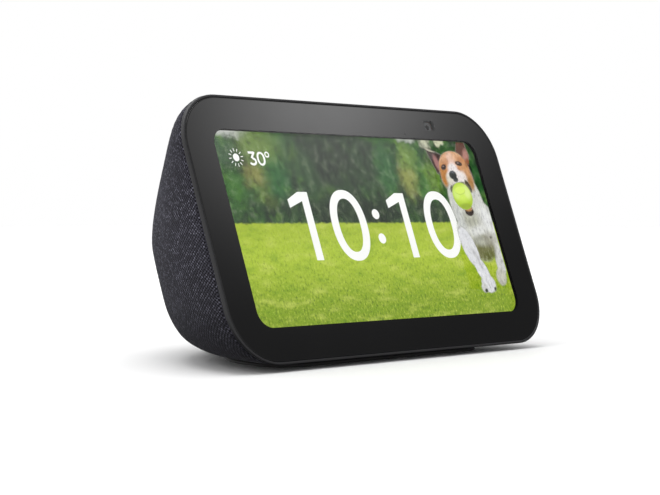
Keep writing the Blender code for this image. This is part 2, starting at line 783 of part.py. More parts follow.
def build_camera(head, frame, gasket, mid, finishes):
    """Camera behind the glass, the sliding shutter over it and the light sensor."""
    bay_top = STRIP_UNDERSIDE - GAP
    panel_top = FACE_HEIGHT / 2 - BEZEL_END + PANEL_BORDER
    bay = block(
        "cut_camera_bay", (CAMERA_X - BAY_LEFT, GLASS_THICKNESS + GAP, panel_top),
        (CAMERA_X + BAY_RIGHT, STRIP_DEPTH, bay_top), None, head,
    )
    cut(frame, bay)
    cut(gasket, bay)
    cut(mid, bay)
    wide, deep, tall = CAMERA_BODY
    lens_front = GLASS_THICKNESS + GAP + BLADE_THICKNESS + 2 * GAP
    rod(
        "camera_lens", LENS_DIAMETER, lens_front, lens_front + LENS_DEPTH, finishes["lens"], head,
        (CAMERA_X, 0, CAMERA_RISE - LENS_DROP), "Y", 20,
    )
    back = max(CAMERA_BODY_BACK, lens_front + LENS_DEPTH + GAP)
    low = panel_top + GAP
    block(
        "camera_module", (CAMERA_X - wide / 2, back, low), (CAMERA_X + wide / 2, back + deep, low + tall),
        finishes["chip"], head,
    )
    wide, deep, tall = SENSOR_SIZE
    front = GLASS_THICKNESS + GAP
    block(
        "light_sensor", (SENSOR_X - wide / 2, front, panel_top + GAP),
        (SENSOR_X + wide / 2, front + deep, panel_top + GAP + tall), finishes["chip"], head,
    )

    knob_x = CAMERA_X + SHUTTER_TRAVEL / 2
    blade_x = CAMERA_X + SHUTTER_TRAVEL
    surface = strip_top(CAMERA_X, CONTROL_BACK)
    floor = surface - TRACK_DEPTH
    track = (KNOB_LENGTH + SHUTTER_TRAVEL) / 2 + GAP
    cut(frame, block(
        "cut_track", (CAMERA_X - track, CONTROL_BACK - KNOB_WIDTH / 2 - GAP, floor),
        (CAMERA_X + track, CONTROL_BACK + KNOB_WIDTH / 2 + GAP, surface + PAST), None, head,
    ))
    slot = (NECK_LENGTH + SHUTTER_TRAVEL) / 2 + GAP
    cut(frame, block(
        "cut_slot", (CAMERA_X - slot, CONTROL_BACK - NECK_WIDTH / 2 - GAP, bay_top - PAST),
        (CAMERA_X + slot, CONTROL_BACK + NECK_WIDTH / 2 + GAP, floor + PAST), None, head,
    ))
    knob = block(
        "shutter_slider",
        (knob_x - KNOB_LENGTH / 2, CONTROL_BACK - KNOB_WIDTH / 2, floor + GAP),
        (knob_x + KNOB_LENGTH / 2, CONTROL_BACK + KNOB_WIDTH / 2, surface + KNOB_PROUD),
        finishes["button"], head,
    )
    join(knob, block(
        "join_neck", (knob_x - NECK_LENGTH / 2, CONTROL_BACK - NECK_WIDTH / 2, bay_top - GAP),
        (knob_x + NECK_LENGTH / 2, CONTROL_BACK + NECK_WIDTH / 2, floor + 2 * GAP), None, head,
    ))
    arm_top = bay_top - 2 * GAP
    arm_low = arm_top - ARM_THICKNESS
    blade_back = front + BLADE_THICKNESS
    blade = block(
        "shutter_blade", (blade_x - BLADE_WIDTH / 2, front, arm_top - BLADE_HEIGHT),
        (blade_x + BLADE_WIDTH / 2, blade_back, arm_top), finishes["blade"], head,
    )
    join(blade, block(
        "join_arm", (knob_x - NECK_LENGTH / 2, front + BLADE_THICKNESS / 2, arm_low),
        (blade_x + BLADE_WIDTH / 2 - GAP, CONTROL_BACK + NECK_WIDTH / 2, arm_top - GAP / 3), None, head,
    ))


def build_speaker(finishes):
    """Rear-facing loudspeaker in its own enclosure, on an axis along Y."""
    baffle = REAR_Y - SPEAKER_INSET
    centre = (0, baffle, SPEAKER_HEIGHT)
    radius = SPEAKER_DIAMETER / 2
    throat = radius - FLANGE_WIDTH
    neck = BASKET_NECK / 2

    low = SPEAKER_HEIGHT - radius - GAP
    high = SPEAKER_HEIGHT + radius + GAP
    outline = rounded_outline(ENCLOSURE_WIDTH, high - low, ENCLOSURE_CORNER, 4)
    outline = [(x, z + SPEAKER_HEIGHT) for x, z in outline]
    front = baffle - GAP - ENCLOSURE_DEPTH
    box = plate("speaker_enclosure", outline, front, baffle - GAP, finishes["plastic"])
    room = rounded_outline(
        ENCLOSURE_WIDTH - 2 * ENCLOSURE_WALL, high - low - 2 * ENCLOSURE_WALL,
        ENCLOSURE_CORNER - ENCLOSURE_WALL, 4,
    )
    room = [(x, z + SPEAKER_HEIGHT) for x, z in room]
    cut(box, plate("cut_enclosure", room, front - PAST, baffle - GAP - ENCLOSURE_WALL, None))
    mouth = rod(
        "cut_mouth", 2 * (throat + GAP), baffle - 2 * ENCLOSURE_WALL, baffle + PAST, None,
        centre=(0, 0, SPEAKER_HEIGHT), axis="Y", steps=ROUND_STEPS,
    )
    cut(box, mouth)
    plate("enclosure_lid", outline, front - GAP - LID_THICKNESS, front - GAP, finishes["plastic"])

    wall = BASKET_WALL
    basket = [
        (neck - wall, -BASKET_DEPTH), (neck, -BASKET_DEPTH), (throat, -ENCLOSURE_WALL),
        (throat, 0), (radius, 0), (radius, FLANGE_THICKNESS), (throat - wall, FLANGE_THICKNESS),
        (throat - wall, -ENCLOSURE_WALL), (neck - wall, -BASKET_DEPTH + wall),
    ]
    turned("speaker_basket", basket, finishes["steel"], None, centre, "Y", ROUND_STEPS)
    pole = COIL_DIAMETER / 2 - COIL_WALL - GAP
    gap_outer = COIL_DIAMETER / 2 + GAP
    back = -BASKET_DEPTH - GAP
    groove = back - COIL_LENGTH
    magnet = [
        (0, back - MAGNET_THICKNESS), (MAGNET_DIAMETER / 2, back - MAGNET_THICKNESS),
        (MAGNET_DIAMETER / 2, back), (gap_outer, back), (gap_outer, groove), (pole, groove),
        (pole, back), (0, back),
    ]
    turned("speaker_magnet", magnet, finishes["magnet"], None, centre, "Y", ROUND_STEPS)

    lip = throat - wall - GAP
    inner = lip - SURROUND_WIDTH
    seat = SURROUND_SEAT
    thick = SURROUND_THICKNESS
    middle = (lip + inner) / 2
    surround = [
        (inner, seat), (lip, seat), (lip, seat + thick), (middle, seat + thick + SURROUND_RISE),
        (inner, seat + thick),
    ]
    turned("speaker_surround", surround, finishes["rubber"], None, centre, "Y", CONE_TURNS)
    rim = inner - GAP
    apex = COIL_DIAMETER / 2 + GAP
    cone = [
        (0, seat - CONE_DEPTH - CONE_THICKNESS), (apex, seat - CONE_DEPTH - CONE_THICKNESS),
        (rim, seat), (rim, seat + CONE_THICKNESS), (apex, seat - CONE_DEPTH),
        (apex / 2, seat - CONE_DEPTH + DUST_CAP_EDGE_RISE), (0, seat - CONE_DEPTH + DUST_CAP_RISE),
    ]
    turned("speaker_cone", cone, finishes["cone"], None, centre, "Y", CONE_TURNS)
    top = seat - CONE_DEPTH - CONE_THICKNESS - GAP
    low_end = groove + CONE_STROKE + 2 * GAP
    outside = COIL_DIAMETER / 2
    coil = [(outside - COIL_WALL, low_end), (outside, low_end), (outside, top), (outside - COIL_WALL, top)]
    turned("voice_coil", coil, finishes["copper"], None, centre, "Y", PLUG_STEPS)


def build_rear(head, finishes):
    """Rear shell with its sound slots and base ledge, and the fabric cover over it."""
    shell = body_shell("rear_shell", WALL_INSET, SHELL_WALL, finishes["plastic"])
    fabric = body_shell("fabric_cover", 0.0, FABRIC_THICKNESS, finishes["fabric"])
    opening = base_outline(-GAP)
    low = COVER_TOP + GAP
    high = COVER_TOP + FAR_PAST
    ledge = slab("join_ledge", base_outline(-LEDGE_OUTWARD), low, low + LEDGE_THICKNESS, None)
    cut(ledge, slab("cut_ledge", base_outline(LEDGE_INWARD), 0, high, None))
    side = FACE_WIDTH / 2
    start = FRONT_Y + LEDGE_START
    cut(ledge, block("cut_ledge_front", (-side, FRONT_Y - PAST, 0), (side, start, high), None))
    recess = RECESS_WIDTH / 2 + RECESS_WALL + 2 * GAP
    cut(ledge, block("cut_ledge_rear", (-recess, 0, 0), (recess, REAR_Y + PAST, high), None))
    cut(ledge, body_solid("keep_ledge", WALL_INSET + SHELL_WALL / 2), keep=True)
    join(shell, ledge)
    slack = RECESS_WALL + GAP
    port = block(
        "cut_port",
        (-RECESS_WIDTH / 2 - slack, REAR_Y - RECESS_FLOOR_INSET - slack - PAST, RECESS_LOW - slack),
        (RECESS_WIDTH / 2 + slack, REAR_Y + FAR_PAST, RECESS_LOW + RECESS_HEIGHT + slack),
        None,
    )
    for cover, tag in ((shell, "shell"), (fabric, "fabric")):
        cut(cover, front_zone("cut_front_" + tag, head, GAP))
        cut(cover, slab("cut_base_" + tag, opening, -PAST, COVER_TOP + GAP / 2, None))
        cut(cover, port)
    for number in range(SLOT_COUNT):
        x = (number - (SLOT_COUNT - 1) / 2) * SLOT_PITCH
        reach = math.sqrt((SPEAKER_DIAMETER / 2 - FLANGE_WIDTH) ** 2 - x**2)
        points = rounded_outline(SLOT_WIDTH, 2 * reach, SLOT_CORNER, 1)
        points = [(x + a, SPEAKER_HEIGHT + b) for a, b in points]
        inside = REAR_Y - SPEAKER_INSET / 2
        cut(shell, plate(f"cut_slot_{number}", points, inside, REAR_Y + PAST, None))
    return shell


def build_base(shell, finishes):
    """Base cover in the bottom opening, its screws and the rubber foot under it."""
    cover_low = FOOT_THICKNESS + GAP
    cover = slab("base_cover", base_outline(0.0), cover_low, COVER_TOP, finishes["plastic"])
    slab("rubber_foot", base_outline(FOOT_INSET), 0.0, FOOT_THICKNESS, finishes["rubber"])
    half = BASE_HALF_WIDTH - LEDGE_INWARD / 2
    corner = BASE_CORNER - LEDGE_INWARD / 2
    start = FRONT_Y + BASE_FRONT_INSET + LEDGE_INWARD / 2 + corner
    depth = REAR_Y - BASE_REAR_INSET - LEDGE_INWARD / 2 - start
    for number, degrees in enumerate(BASE_SCREW_ANGLES, 1):
        cosine, sine = math.cos(math.radians(degrees)), math.sin(math.radians(degrees))
        x = math.copysign(abs(cosine) ** (2 / PLAN_POWER), cosine) * half
        place = (x, start + depth * sine ** (2 / PLAN_POWER), 0)
        head_top = cover_low + GAP + BASE_SCREW_HEAD_HEIGHT
        tip = cover_low + GAP + BASE_SCREW_LENGTH
        sink = rod(
            f"cut_base_head_{number}", BASE_SCREW_HEAD + 2 * GAP, -PAST, head_top + GAP, None,
            None, place, steps=16,
        )
        hole = rod(
            f"cut_base_screw_{number}", BASE_SCREW_SHANK + 2 * SCREW_HOLE_SLACK, head_top,
            tip + GAP, None, None, place, steps=12,
        )
        cut(cover, sink, hole)
        cut(shell, hole)
        profile = [
            (0, cover_low + GAP), (BASE_SCREW_HEAD / 2, cover_low + GAP), (BASE_SCREW_HEAD / 2, head_top),
            (BASE_SCREW_SHANK / 2, head_top), (BASE_SCREW_SHANK / 2, tip), (0, tip),
        ]
        turned(f"base_screw_{number}", profile, finishes["screw"], None, place, steps=12)


def build_power_inlet(finishes):
    """Recessed panel in the lower rear with the power jack and its centre pin."""
    floor = REAR_Y - RECESS_FLOOR_INSET
    half = RECESS_WIDTH / 2
    low, high = RECESS_LOW, RECESS_LOW + RECESS_HEIGHT
    middle = (low + high) / 2
    wall = RECESS_WALL
    panel = block(
        "port_panel", (-half - wall, floor - wall, low - wall), (half + wall, REAR_Y + PAST, high + wall),
        finishes["plastic"],
    )
    cut(panel, body_solid("keep_port", PANEL_SKIN), keep=True)
    cut(panel, block("cut_recess", (-half, floor, low), (half, REAR_Y + FAR_PAST, high), None))
    place = (0, 0, middle)
    bore = JACK_SNOUT + 2 * GAP
    cut(panel, rod("cut_snout", bore, floor - 2 * wall, floor + PAST, None, None, place, "Y", PLUG_STEPS))
    face = REAR_Y - JACK_FACE_INSET
    tall = RECESS_HEIGHT / 2 - GAP
    jack = block(
        "power_jack", (-JACK_WIDTH / 2, face - JACK_LENGTH, middle - tall),
        (JACK_WIDTH / 2, face, middle + tall), finishes["chip"],
    )
    end = floor - JACK_BORE_DEPTH
    join(jack, rod("join_snout", JACK_SNOUT, face - PAST, floor, None, None, place, "Y", PLUG_STEPS))
    cut(jack, rod("cut_bore", JACK_BORE, end, floor + PAST, None, None, place, "Y", PLUG_STEPS))
    rod("jack_pin", JACK_PIN, end + GAP, floor - JACK_PIN_DROP, finishes["screw"], None, place, "Y", 12)


def build_ribbon(head, finishes):
    """Ribbon from the screen round the mid plate's lower edge to the board."""
    low = -FACE_HEIGHT / 2 + PLATE_END
    near = PANEL_BACK + PLATE_GAP / 2
    bend = BOARD_FRONT - FLEX_CLEAR
    under = low - FLEX_CLEAR
    path = [(near, low + FLEX_START), (near, low - GAP), (near + 2 * GAP, under)]
    path += [(PLATE_BACK + GAP, under), (bend - FLEX_CLEAR, low), (bend, low + 3 * FLEX_CLEAR)]
    path += [(bend, -BOARD_HEIGHT / 2 + FLEX_END)]
    ribbon = strip_curve("display_ribbon", path, FLEX_WIDTH, FLEX_THICKNESS, finishes["ribbon"], head)
    ribbon.location.x = FLEX_X


def build():
    """Model the whole object."""
    clear_scene()
    finishes = {
        "glass": make_material("glass", (0.012, 0.012, 0.013), 0.06),
        "screen": make_material("screen", (0.04, 0.06, 0.04), 0.2),
        "frame": make_material("frame", (0.04, 0.04, 0.045), 0.42),
        "fabric": make_material("fabric", (0.055, 0.055, 0.065), 0.95),
        "plastic": make_material("plastic", (0.03, 0.03, 0.032), 0.5),
        "rubber": make_material("rubber", (0.015, 0.015, 0.015), 0.85),
        "button": make_material("button", (0.05, 0.05, 0.055), 0.4),
        "steel": make_material("steel", (0.6, 0.6, 0.6), 0.35, 1.0),
        "screw": make_material("screw", (0.35, 0.35, 0.36), 0.3, 1.0),
        "brass": make_material("brass", (0.72, 0.55, 0.25), 0.3, 1.0),
        "copper": make_material("copper", (0.75, 0.38, 0.2), 0.35, 1.0),
        "board": make_material("board", (0.02, 0.12, 0.06), 0.5),
        "chip": make_material("chip", (0.02, 0.02, 0.02), 0.45),
        "pad": make_material("pad", (0.45, 0.5, 0.6), 0.8),
        "lens": make_material("lens", (0.02, 0.02, 0.03), 0.05),
        "blade": make_material("blade", (0.55, 0.2, 0.05), 0.5),
        "magnet": make_material("magnet", (0.18, 0.18, 0.19), 0.4, 1.0),
        "cone": make_material("cone", (0.05, 0.05, 0.05), 0.7),
        "ribbon": make_material("ribbon", (0.5, 0.25, 0.05), 0.5),
    }
    head = bpy.data.objects.new("display_head", None)
    bpy.context.scene.collection.objects.link(head)
    head.location = (0, FACE_Y, FACE_Z)
    head.rotation_euler = (-LEAN, 0, 0)
    frame, gasket, mid = build_front(head, finishes)
    build_electronics(head, finishes)
    build_controls(head, frame, finishes)
    build_camera(head, frame, gasket, mid, finishes)
    build_speaker(finishes)
    shell = build_rear(head, finishes)
    build_base(shell, finishes)
    build_power_inlet(finishes)
    build_ribbon(head, finishes)


build()
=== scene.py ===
"""Countertop smart display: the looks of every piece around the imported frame.

The display stack is dressed in a frame of its own, with X across the face, Y back into
the body and Z up the face. Sizes are in metres unless a name or comment says otherwise.
"""

import json
import logging
import math
from dataclasses import dataclass, field
from enum import Enum

import bmesh
import bpy
import numpy as np
from mathutils import Matrix, Vector
from mathutils.geometry import interpolate_bezier

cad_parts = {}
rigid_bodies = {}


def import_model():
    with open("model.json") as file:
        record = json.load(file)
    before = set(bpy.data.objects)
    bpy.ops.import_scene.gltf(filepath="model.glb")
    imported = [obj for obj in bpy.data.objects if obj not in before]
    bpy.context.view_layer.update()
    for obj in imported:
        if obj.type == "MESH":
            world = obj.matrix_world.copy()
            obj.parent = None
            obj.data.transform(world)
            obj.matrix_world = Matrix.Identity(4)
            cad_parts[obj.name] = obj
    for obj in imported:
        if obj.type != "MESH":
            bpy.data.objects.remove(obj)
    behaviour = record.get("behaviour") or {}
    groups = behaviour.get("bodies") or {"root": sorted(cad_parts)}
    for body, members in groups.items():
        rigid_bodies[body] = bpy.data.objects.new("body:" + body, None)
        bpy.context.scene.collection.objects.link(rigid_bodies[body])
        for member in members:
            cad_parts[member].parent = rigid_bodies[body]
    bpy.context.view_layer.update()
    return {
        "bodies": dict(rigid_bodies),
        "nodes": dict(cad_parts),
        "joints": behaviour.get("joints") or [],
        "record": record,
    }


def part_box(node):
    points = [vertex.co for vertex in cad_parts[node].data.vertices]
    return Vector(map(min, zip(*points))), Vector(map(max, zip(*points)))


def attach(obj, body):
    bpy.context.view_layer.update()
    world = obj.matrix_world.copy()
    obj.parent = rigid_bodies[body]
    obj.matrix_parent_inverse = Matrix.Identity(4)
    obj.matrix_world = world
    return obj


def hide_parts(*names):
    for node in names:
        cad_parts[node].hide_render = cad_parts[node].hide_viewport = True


LOG = logging.getLogger("smart_display")
MM = 0.001
SLIVER = 1e-9

Point = tuple[float, float]
Colour = tuple[float, float, float]


def tone(red: float, green: float, blue: float) -> Colour:
    """Linear colour of three display values from 0 to 255."""
    return tuple(
        ((v / 255 + 0.055) / 1.055) ** 2.4 if v > 10 else v / 255 / 12.92 for v in (red, green, blue)
    )


class Blend(Enum):
    """How a value is eased between two ends."""

    STRAIGHT = "LINEAR"
    SMOOTH = "SMOOTHSTEP"


# ---------------------------------------------------------------- material nodes


class Graph:
    """A material's node tree with short ways to add and join nodes."""

    def __init__(self, name: str) -> None:
        """Start an empty material.

        Args:
            name: The material's name.
        """
        self.material = bpy.data.materials.new(name)
        self.material.use_nodes = True
        self.tree = self.material.node_tree
        self.tree.nodes.clear()
        self.output = self.tree.nodes.new("ShaderNodeOutputMaterial")

    def feed(self, target: bpy.types.NodeSocket, value: object) -> None:
        """Set a socket to a plain value, or link it to another socket."""
        if isinstance(value, bpy.types.NodeSocket):
            self.tree.links.new(value, target)
        elif value is not None:
            if isinstance(value, tuple) and target.type == "RGBA":
                value = (*value[:3], 1.0)
            target.default_value = value

    def add(self, kind: str, inputs: dict | None = None, **settings: object) -> bpy.types.Node:
        """Add a node.

        Args:
            kind: The node's type without its ShaderNode prefix.
            inputs: Values or sockets by input name or number.
            settings: The node's own properties.

        Returns:
            The new node.
        """
        node = self.tree.nodes.new("ShaderNode" + kind)
        for key, value in settings.items():
            setattr(node, key, value)
        for key, value in (inputs or {}).items():
            self.feed(node.inputs[key], value)
        return node

    def math(
        self, operation: str, first: object, second: object = None, clamp: bool = False
    ) -> bpy.types.NodeSocket:
        """Result of a Math node on one or two values."""
        node = self.add("Math", {0: first, 1: second}, operation=operation, use_clamp=clamp)
        return node.outputs[0]

    def vector(self, operation: str, first: object, second: object = None) -> bpy.types.Node:
        """A Vector Math node on one or two vectors."""
        return self.add("VectorMath", {0: first, 1: second}, operation=operation)

    def ease(
        self, value: object, low: float, high: float, start: float = 0.0, end: float = 1.0,
        how: Blend = Blend.SMOOTH,
    ) -> bpy.types.NodeSocket:
        """Map a value between low and high to start and end, clamped.

        Args:
            value: The value's socket.
            low: Where the result is start.
            high: Where the result is end.
            start: Result at low.
            end: Result at high.
            how: The easing.

        Returns:
            The eased value's socket.
        """
        inputs = {"Value": value, "From Min": low, "From Max": high, "To Min": start, "To Max": end}
        return self.add("MapRange", inputs, interpolation_type=how.value).outputs[0]

    def mix(self, share: object, first: object, second: object, how: str = "MIX") -> bpy.types.NodeSocket:
        """Colour between first and second by share."""
        node = self.add("Mix", None, data_type="RGBA", blend_type=how, clamp_factor=True)
        self.feed(node.inputs[0], share)
        self.feed(node.inputs[6], first)
        self.feed(node.inputs[7], second)
        return node.outputs[2]

    def noise(
        self, place: object, scale: float, detail: float = 2.0, roughness: float = 0.5, colour: bool = False
    ) -> bpy.types.NodeSocket:
        """Noise over a place, as a value or a colour."""
        inputs = {"Vector": place, "Scale": scale, "Detail": detail, "Roughness": roughness}
        return self.add("TexNoise", inputs).outputs[1 if colour else 0]

    def place(self) -> bpy.types.NodeSocket:
        """The piece's own coordinates, in metres."""
        return self.add("TexCoord").outputs["Object"]

    def scaled(self, place: object, scale: tuple[float, float, float]) -> bpy.types.NodeSocket:
        """A place stretched along its axes."""
        return self.vector("MULTIPLY", place, scale).outputs[0]

    def bump(
        self, height: object, distance: float, strength: float = 1.0, over: object = None
    ) -> bpy.types.NodeSocket:
        """A normal bent by a height from 0 to 1 that stands distance tall."""
        inputs = {"Height": height, "Distance": distance, "Strength": strength, "Normal": over}
        return self.add("Bump", inputs).outputs[0]

    def principled(self, **inputs: object) -> bpy.types.Node:
        """A Principled shader wired to the output; underscores stand for spaces in names."""
        named = {key.replace("_", " "): value for key, value in inputs.items()}
        shader = self.add("BsdfPrincipled", named)
        self.feed(self.output.inputs[0], shader.outputs[0])
        return shader


@dataclass(frozen=True)
class Moulded:
    """Moulded plastic: fine eroded grain, faint flow marks and a little rubbed gloss."""

    name: str
    colour: Colour
    roughness: float = 0.45
    grain: float = 0.28 * MM
    depth: float = 0.012 * MM
    uneven: float = 0.10

    def material(self) -> bpy.types.Material:
        """The node material of this finish."""
        g = Graph(self.name)
        place = g.place()
        flow = g.noise(place, 38.0, 3.0)
        grain = g.noise(place, 1 / self.grain, 2.0, 0.6)
        rubbed = g.noise(place, 210.0, 4.0, 0.65)
        low = tuple(c * (1 - self.uneven) for c in self.colour)
        high = tuple(min(c * (1 + self.uneven), 1.0) for c in self.colour)
        body = g.mix(g.ease(flow, 0.3, 0.7), low, high)
        body = g.mix(g.ease(grain, 0.35, 0.75, 0.0, 0.35), body, tuple(c * 1.35 for c in self.colour))
        gloss = g.ease(rubbed, 0.3, 0.75, self.roughness - 0.06, self.roughness + 0.07)
        g.principled(Base_Color=body, Roughness=gloss, Normal=g.bump(grain, self.depth), IOR=1.47)
        return g.material


@dataclass(frozen=True)
class Rubber:
    """Soft rubber: dull, with fine pits and paler dusty patches."""

    name: str
    colour: Colour
    roughness: float = 0.82

    def material(self) -> bpy.types.Material:
        """The node material of this finish."""
        g = Graph(self.name)
        place = g.place()
        dust = g.noise(place, 90.0, 5.0, 0.7)
        pits = g.noise(place, 2600.0, 2.0)
        dusty = tuple(c * 1.9 + 0.004 for c in self.colour)
        body = g.mix(g.ease(dust, 0.52, 0.8, 0.0, 0.5), self.colour, dusty)
        rough = g.ease(dust, 0.3, 0.8, self.roughness - 0.08, self.roughness + 0.06)
        g.principled(Base_Color=body, Roughness=rough, Normal=g.bump(pits, 0.03 * MM), IOR=1.5)
        return g.material


@dataclass(frozen=True)
class Metal:
    """Sheet or turned metal: drawn lines along one axis, and faint stains."""

    name: str
    colour: Colour
    roughness: float = 0.3
    lines: tuple[float, float, float] = (250.0, 4000.0, 4000.0)

    def material(self) -> bpy.types.Material:
        """The node material of this finish."""
        g = Graph(self.name)
        place = g.place()
        drawn = g.noise(g.scaled(place, self.lines), 1.0, 3.0, 0.6)
        stain = g.noise(place, 120.0, 4.0, 0.6)
        body = g.mix(g.ease(stain, 0.45, 0.8, 0.0, 0.6), self.colour, tuple(c * 0.72 for c in self.colour))
        rough = g.ease(drawn, 0.3, 0.7, self.roughness - 0.07, self.roughness + 0.12)
        g.principled(Base_Color=body, Metallic=1.0, Roughness=rough, Normal=g.bump(drawn, 0.004 * MM))
        return g.material


@dataclass(frozen=True)
class Board:
    """Circuit board: solder mask over raised tracks, and bare pads."""

    name: str
    mask: Colour = tone(18, 74, 44)
    pad: Colour = tone(196, 178, 120)

    def material(self) -> bpy.types.Material:
        """The node material of this finish."""
        g = Graph(self.name)
        place = g.place()
        spots = g.add("TexVoronoi", {"Vector": place, "Scale": 420.0, "Randomness": 0.8})
        tracks = g.add(
            "TexBrick", {"Vector": g.scaled(place, (900.0, 900.0, 900.0)), "Scale": 1.0, "Mortar Size": 0.12},
        )
        raised = g.math("SUBTRACT", 1.0, tracks.outputs["Fac"])
        covered = g.mix(g.math("MULTIPLY", raised, 0.5), self.mask, tuple(c * 1.8 for c in self.mask))
        bare = g.ease(spots.outputs["Distance"], 0.16, 0.12)
        body = g.mix(bare, covered, self.pad)
        g.principled(
            Base_Color=body, Metallic=g.math("MULTIPLY", bare, 0.9),
            Roughness=g.ease(raised, 0.0, 1.0, 0.5, 0.36),
            Normal=g.bump(raised, 0.03 * MM),
        )
        return g.material


@dataclass(frozen=True)
class Fibrous:
    """Pressed paper, film or soft pad: two tones through a stretched, mottled fibre."""

    name: str
    dark: Colour
    light: Colour
    roughness: float = 0.7
    fibre: tuple[float, float, float] = (900.0, 900.0, 900.0)
    depth: float = 0.03 * MM

    def material(self) -> bpy.types.Material:
        """The node material of this finish."""
        g = Graph(self.name)
        fibre = g.noise(g.scaled(g.place(), self.fibre), 1.0, 4.0, 0.6)
        body = g.mix(g.ease(fibre, 0.35, 0.68), self.dark, self.light)
        rough = g.ease(fibre, 0.3, 0.7, self.roughness - 0.06, self.roughness + 0.06)
        g.principled(Base_Color=body, Roughness=rough, Normal=g.bump(fibre, self.depth))
        return g.material


@dataclass(frozen=True)
class Optic:
    """Coated lens: near-black glass with coated rings round its own middle and a painted bluish coating
    reflection at its centre.
    """

    name: str
    middle: tuple[float, float, float]
    rings: float = 0.0021

    def material(self) -> bpy.types.Material:
        """The node material of this finish."""
        g = Graph(self.name)
        offset = g.vector("SUBTRACT", g.place(), self.middle).outputs[0]
        away = g.math("DIVIDE", g.vector("LENGTH", offset).outputs["Value"], self.rings)
        ring = g.math("MULTIPLY", g.ease(away, 0.62, 0.70), g.ease(away, 0.86, 0.78))
        # Painted reflection: a bluish coating tint over the lens's centre.
        glow = g.ease(away, 0.42, 0.05)
        body = g.mix(ring, tone(14, 14, 18), tone(112, 114, 122))
        body = g.mix(g.math("MULTIPLY", glow, 0.7), body, tone(28, 34, 60))
        g.principled(
            Base_Color=body, Roughness=g.ease(ring, 0.0, 1.0, 0.04, 0.22),
            Coat_Weight=1.0, Coat_Roughness=0.02,
        )
        return g.material


@dataclass(frozen=True)
class Knit:
    """Stretched knit mesh: loops in staggered rows with dark holes between, pale flecks on the loop tops that
    are partly painted highlights, and painted shade towards the base.

    It reads the piece's map, which holds millimetres along and across the cloth.
    """

    name: str
    map_name: str
    yarn: Colour = tone(56, 55, 65)
    # pale yarn flecks, laid only on the raised loops: partly painted highlights
    pale_fleck_highlight: Colour = tone(134, 133, 148)
    hole: Colour = tone(5, 5, 7)
    course: float = 1.08
    wale: float = 1.7
    # painted shade towards the base: how far it darkens the yarn, and its reach in millimetres up the cloth
    base_shade: float = 0.62
    base_shade_reach: float = 44.0

    def material(self) -> bpy.types.Material:
        """The node material of this finish."""
        g = Graph(self.name)
        flat = g.add("UVMap", None, uv_map=self.map_name).outputs[0]
        wander = g.noise(flat, 0.55, 2.0, 0.5, colour=True)
        shift = g.scaled(g.vector("SUBTRACT", wander, (0.5, 0.5, 0.5)).outputs[0], (0.5, 0.5, 0.0))
        place = g.vector("ADD", flat, shift).outputs[0]
        parts = g.add("SeparateXYZ", {0: place})
        turn = 2 * math.pi
        across = g.math("COSINE", g.math("MULTIPLY", parts.outputs[0], turn / self.wale))
        along = g.math("COSINE", g.math("MULTIPLY", parts.outputs[1], turn / self.course))
        loops = g.math("MULTIPLY", across, along)
        slanted = g.math(
            "ADD", g.math("MULTIPLY", parts.outputs[0], 3.1), g.math("MULTIPLY", parts.outputs[1], 2.3)
        )
        ply = g.math("SINE", g.math("MULTIPLY", slanted, turn))
        fuzz = g.noise(flat, 5.5, 4.0, 0.7)
        height = g.math("ADD", g.math("MULTIPLY", loops, 0.62), g.math("MULTIPLY", ply, 0.08))
        height = g.math("ADD", height, g.math("MULTIPLY", fuzz, 0.35))
        cells = g.add(
            "TexVoronoi",
            {"Vector": g.scaled(place, (1 / 0.8, 1 / 0.62, 1.0)), "Scale": 1.0, "Randomness": 0.85},
        )
        pick = g.add("SeparateColor", {0: cells.outputs["Color"]}).outputs[0]
        patch = g.noise(flat, 0.045, 2.0)
        # Pale heathered flecks, laid only on the loop tops, so partly a painted highlight.
        fleck_highlight_share = g.math("MULTIPLY", g.ease(pick, 0.5, 0.95), g.ease(height, 0.0, 0.65))
        body = g.mix(
            g.ease(patch, 0.3, 0.7), tuple(c * 0.86 for c in self.yarn), tuple(c * 1.1 for c in self.yarn)
        )
        body = g.mix(fleck_highlight_share, body, self.pale_fleck_highlight)
        # Painted shade: the yarn darkens towards the base of the cloth.
        base_shade_share = g.ease(parts.outputs[1], self.base_shade_reach, 2.0, 0.0, self.base_shade)
        body = g.mix(base_shade_share, body, g.mix(1.0, body, (0.12, 0.12, 0.14), "MULTIPLY"))
        open_share = g.ease(height, 0.20, -0.22)
        body = g.mix(open_share, body, self.hole)
        g.principled(
            Base_Color=body, Roughness=g.ease(height, -0.3, 0.7, 0.98, 0.82),
            Sheen_Weight=0.12, Sheen_Roughness=0.45,
            Sheen_Tint=(*tone(170, 170, 180), 1.0), Specular_IOR_Level=0.25,
            Normal=g.bump(height, 0.28 * MM, 0.9),
        )
        return g.material


@dataclass(frozen=True)
class Window:
    """A clear rounded opening in a printed border, in metres across and up the face."""

    centre: Point
    size: Point
    corner: float
    smoke: float = 0.0


